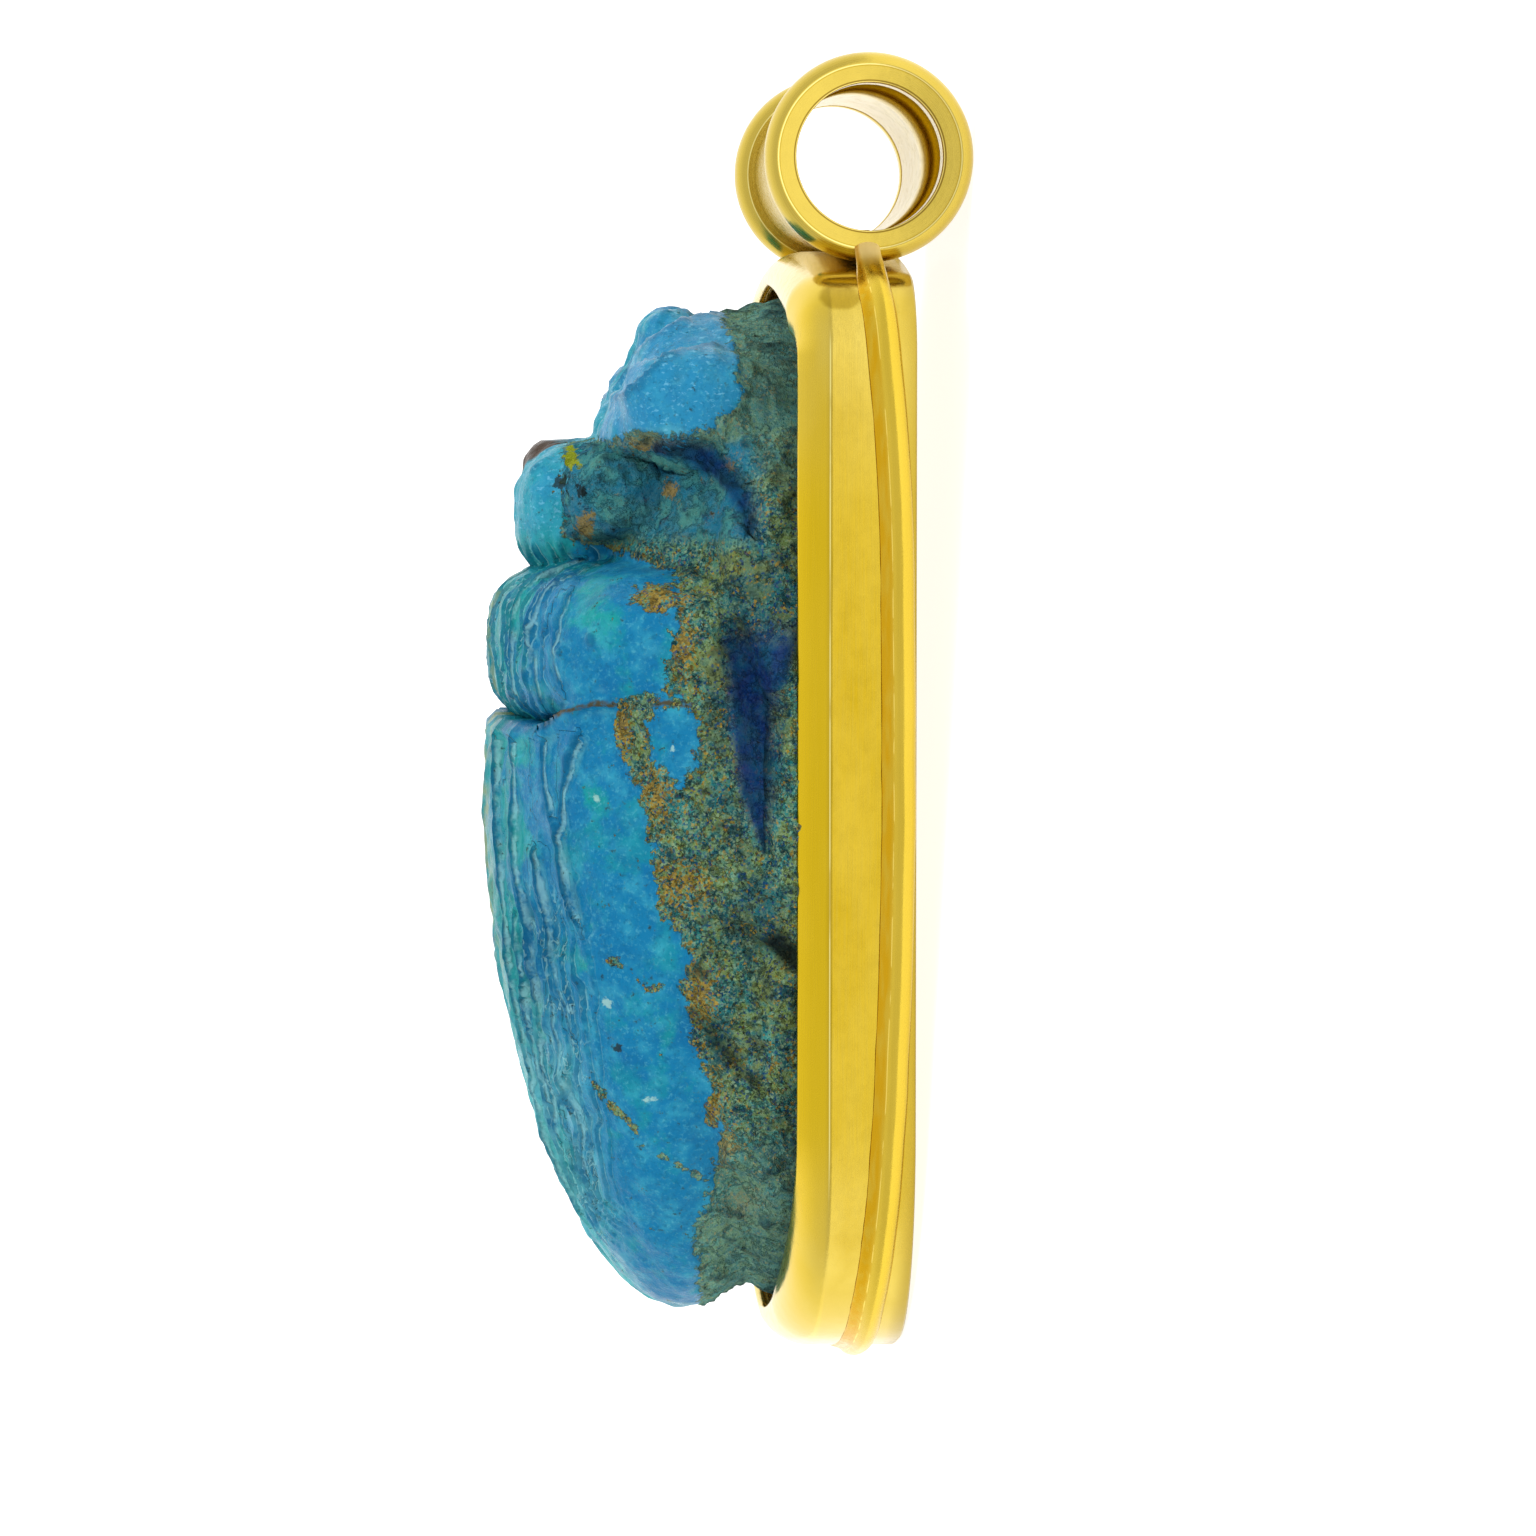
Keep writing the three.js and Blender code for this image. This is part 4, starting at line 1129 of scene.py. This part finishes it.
def add_wire_colours(n, metal, lap):
    """The wire, painted paler as a painted reflection, its lapped ends painted nearly white as a
    painted highlight, and the solder with a painted highlight along its seam.
    """
    solder = n.mark("solder")
    # Painted reflection: the wire is laid a paler gold than the band, and its laps paler still.
    metal.lay("wire", n.mark("wire"), 0.6)
    metal.lay("lap", lap, 0.85)
    seam = n.map(n.noise(0.3, 4, stretch=(1, 6, 1)), 0.3, 0.6, 0.3, 0.8)
    metal.lay("solder", n.times(solder, seam))
    # Painted highlight: a broken bright line where the solder meets the wire.
    broken = n.map(n.noise(0.5, 4, stretch=(1, 3, 1)), 0.45, 0.55, 0, 0.8)
    metal.lay("seam_glint", n.times(n.map(n.apart(solder, 0.35), 0.2, 0.08), broken))


def add_bright_lines(n, metal, ring, ends):
    """The broken painted highlight along the crease of the band, and the painted highlight and shade
    lines on the collars.
    """
    # Painted highlight along the crease.
    crease = n.map(n.apart(n.mark("crease"), 0.03), 0.04, 0.012)
    crease = n.times(n.times(crease, n.mark("band")), n.map(ends, 0.35, 0.02))
    broken = n.map(n.noise(0.8, 3, stretch=(1, 4, 1)), 0.35, 0.5, 0.35, 0.9)
    metal.lay("crease", n.times(crease, broken))
    # Painted lines on the collars' faces: bright ones are painted highlight, dark ones painted shade.
    for radius, half_width, name in PAINTED_RING_LINES:
        metal.lay(name, n.map(n.apart(ring, radius), half_width, half_width / 3), 0.75)


def gold():
    """Satin yellow gold, brushed along its length."""
    material, n, shader = new_material("gold")
    ring, ends, lap = n.mark("ring"), n.mark("ends"), n.mark("lap")
    on_ring = n.map(ring, 0.5, 1)
    streaks = brush_marks(n, ring, on_ring)
    cloud = n.noise(2.4, 4, stretch=(1, 2.5, 1))
    metal = Layers(n, GOLD, n.mix(n.map(cloud, 0.3, 0.7), GOLD["deep"], GOLD["light"]))
    add_sheet_colours(n, metal, cloud, streaks, on_ring, ends)
    add_wire_colours(n, metal, lap)
    add_bright_lines(n, metal, ring, ends)
    n.join(metal.top, shader.inputs["Base Color"])
    shader.inputs["Metallic"].default_value = 1
    rough = n.map(streaks, 0.2, 0.8, 0.16, 0.3)
    rough = n.plus(rough, n.cloud(0.5, 4, 0.4, 0.7, 0, 0.06))
    rough = n.times(rough, n.map(ends, 0.2, 0.9, 1, 0.7))
    n.join(n.plus(rough, n.times(lap, 0.5)), shader.inputs["Roughness"])
    bump = n.bump(n.times(streaks, n.map(ends, 0.2, 0.8, 1, 0.2)), 0.002)
    n.join(n.bump(n.noise(0.9, 3), 0.012, bump), shader.inputs["Normal"])
    return material


# ---- camera, floor and light -------------------------------------

CAMERA = Sizes(place=(287.23, 16.55, 24.1), yaw=3.769, pitch=-3.0645, roll=0.04, lens=153.11)
FLOOR_HALF = 20  # metres, wide enough to meet the pale surroundings out of sight
LAMPS = [  # name, direction towards the lamp, strength and the angle over which it spreads
    ("overhead", (0.1, 0.5, 1), 0.9, 28),
    ("front", (1, 0.1, 0.3), 0.5, 60),
]


def add_camera():
    """The photograph's view: along the bail, a little downwards, with the bail uppermost."""
    yaw, pitch, roll = np.radians([CAMERA.yaw, CAMERA.pitch, CAMERA.roll])
    level = math.cos(pitch)
    ahead = Vector((-level * math.cos(yaw), math.sin(pitch), -level * math.sin(yaw)))
    side = ahead.cross(Vector((0, 1, 0))).normalized()
    upright = side.cross(ahead)
    right = side * math.cos(roll) + upright * math.sin(roll)
    up = upright * math.cos(roll) - side * math.sin(roll)
    turn = Matrix((right, up, -ahead)).transposed().to_4x4()
    camera = bpy.data.objects.new("camera", bpy.data.cameras.new("camera"))
    camera.data.sensor_width = 36
    camera.data.lens = CAMERA.lens
    camera.data.clip_start = 0.01
    camera.matrix_world = TO_WORLD @ Matrix.Translation(Vector(CAMERA.place) * MM) @ turn
    scene.collection.objects.link(camera)
    scene.camera = camera


def add_floor():
    """A pale level floor that glows a little, as the lit table under a light tent does."""
    mesh = bpy.data.meshes.new("floor")
    corners = [(-1, -1, 0), (1, -1, 0), (1, 1, 0), (-1, 1, 0)]
    mesh.from_pydata([Vector(corner) * FLOOR_HALF for corner in corners], [], [(0, 1, 2, 3)])
    floor = bpy.data.objects.new("floor", mesh)
    scene.collection.objects.link(floor)
    material, n, shader = new_material("floor")
    n.feed(shader, {"Base Color": [0.5, 0.5, 0.5, 1], "Emission Color": [1, 1, 1, 1]})
    n.feed(shader, {"Emission Strength": 0.85, "Roughness": 1, "Specular IOR Level": 0})
    mesh.materials.append(material)


def add_surroundings():
    """Even light from all round, as in a light tent, brightest behind the pendant."""
    world = bpy.data.worlds.new("studio")
    world.use_nodes = True
    n = Nodes(world.node_tree)
    towards = n.new("ShaderNodeSeparateXYZ")
    n.join(n.new("ShaderNodeTexCoord").outputs["Generated"], towards.inputs[0])
    strength = n.map(towards.outputs["X"], -0.9, 0.6, 1.35, 0.85)
    n.feed(world.node_tree.nodes["Background"], dict(Color=[1, 1, 1, 1], Strength=strength))
    scene.world = world


def add_lamps():
    for name, towards_lamp, strength, spread_angle in LAMPS:
        lamp = bpy.data.lights.new(name, "SUN")
        lamp.energy = strength
        lamp.angle = math.radians(spread_angle)
        stand = bpy.data.objects.new(name, lamp)
        stand.visible_glossy = False
        stand.rotation_euler = Vector(towards_lamp).to_track_quat("Z", "Y").to_euler()
        scene.collection.objects.link(stand)


scene.view_settings.view_transform = "Standard"
add_camera()
add_floor()
add_surroundings()
add_lamps()
faience_material, gold_material = faience(), gold()
add_scarab(faience_material)
add_band(gold_material)
add_wire(gold_material)
add_bail(gold_material)
frame["nodes"]["back_plate"].material_slots[0].material = gold_material
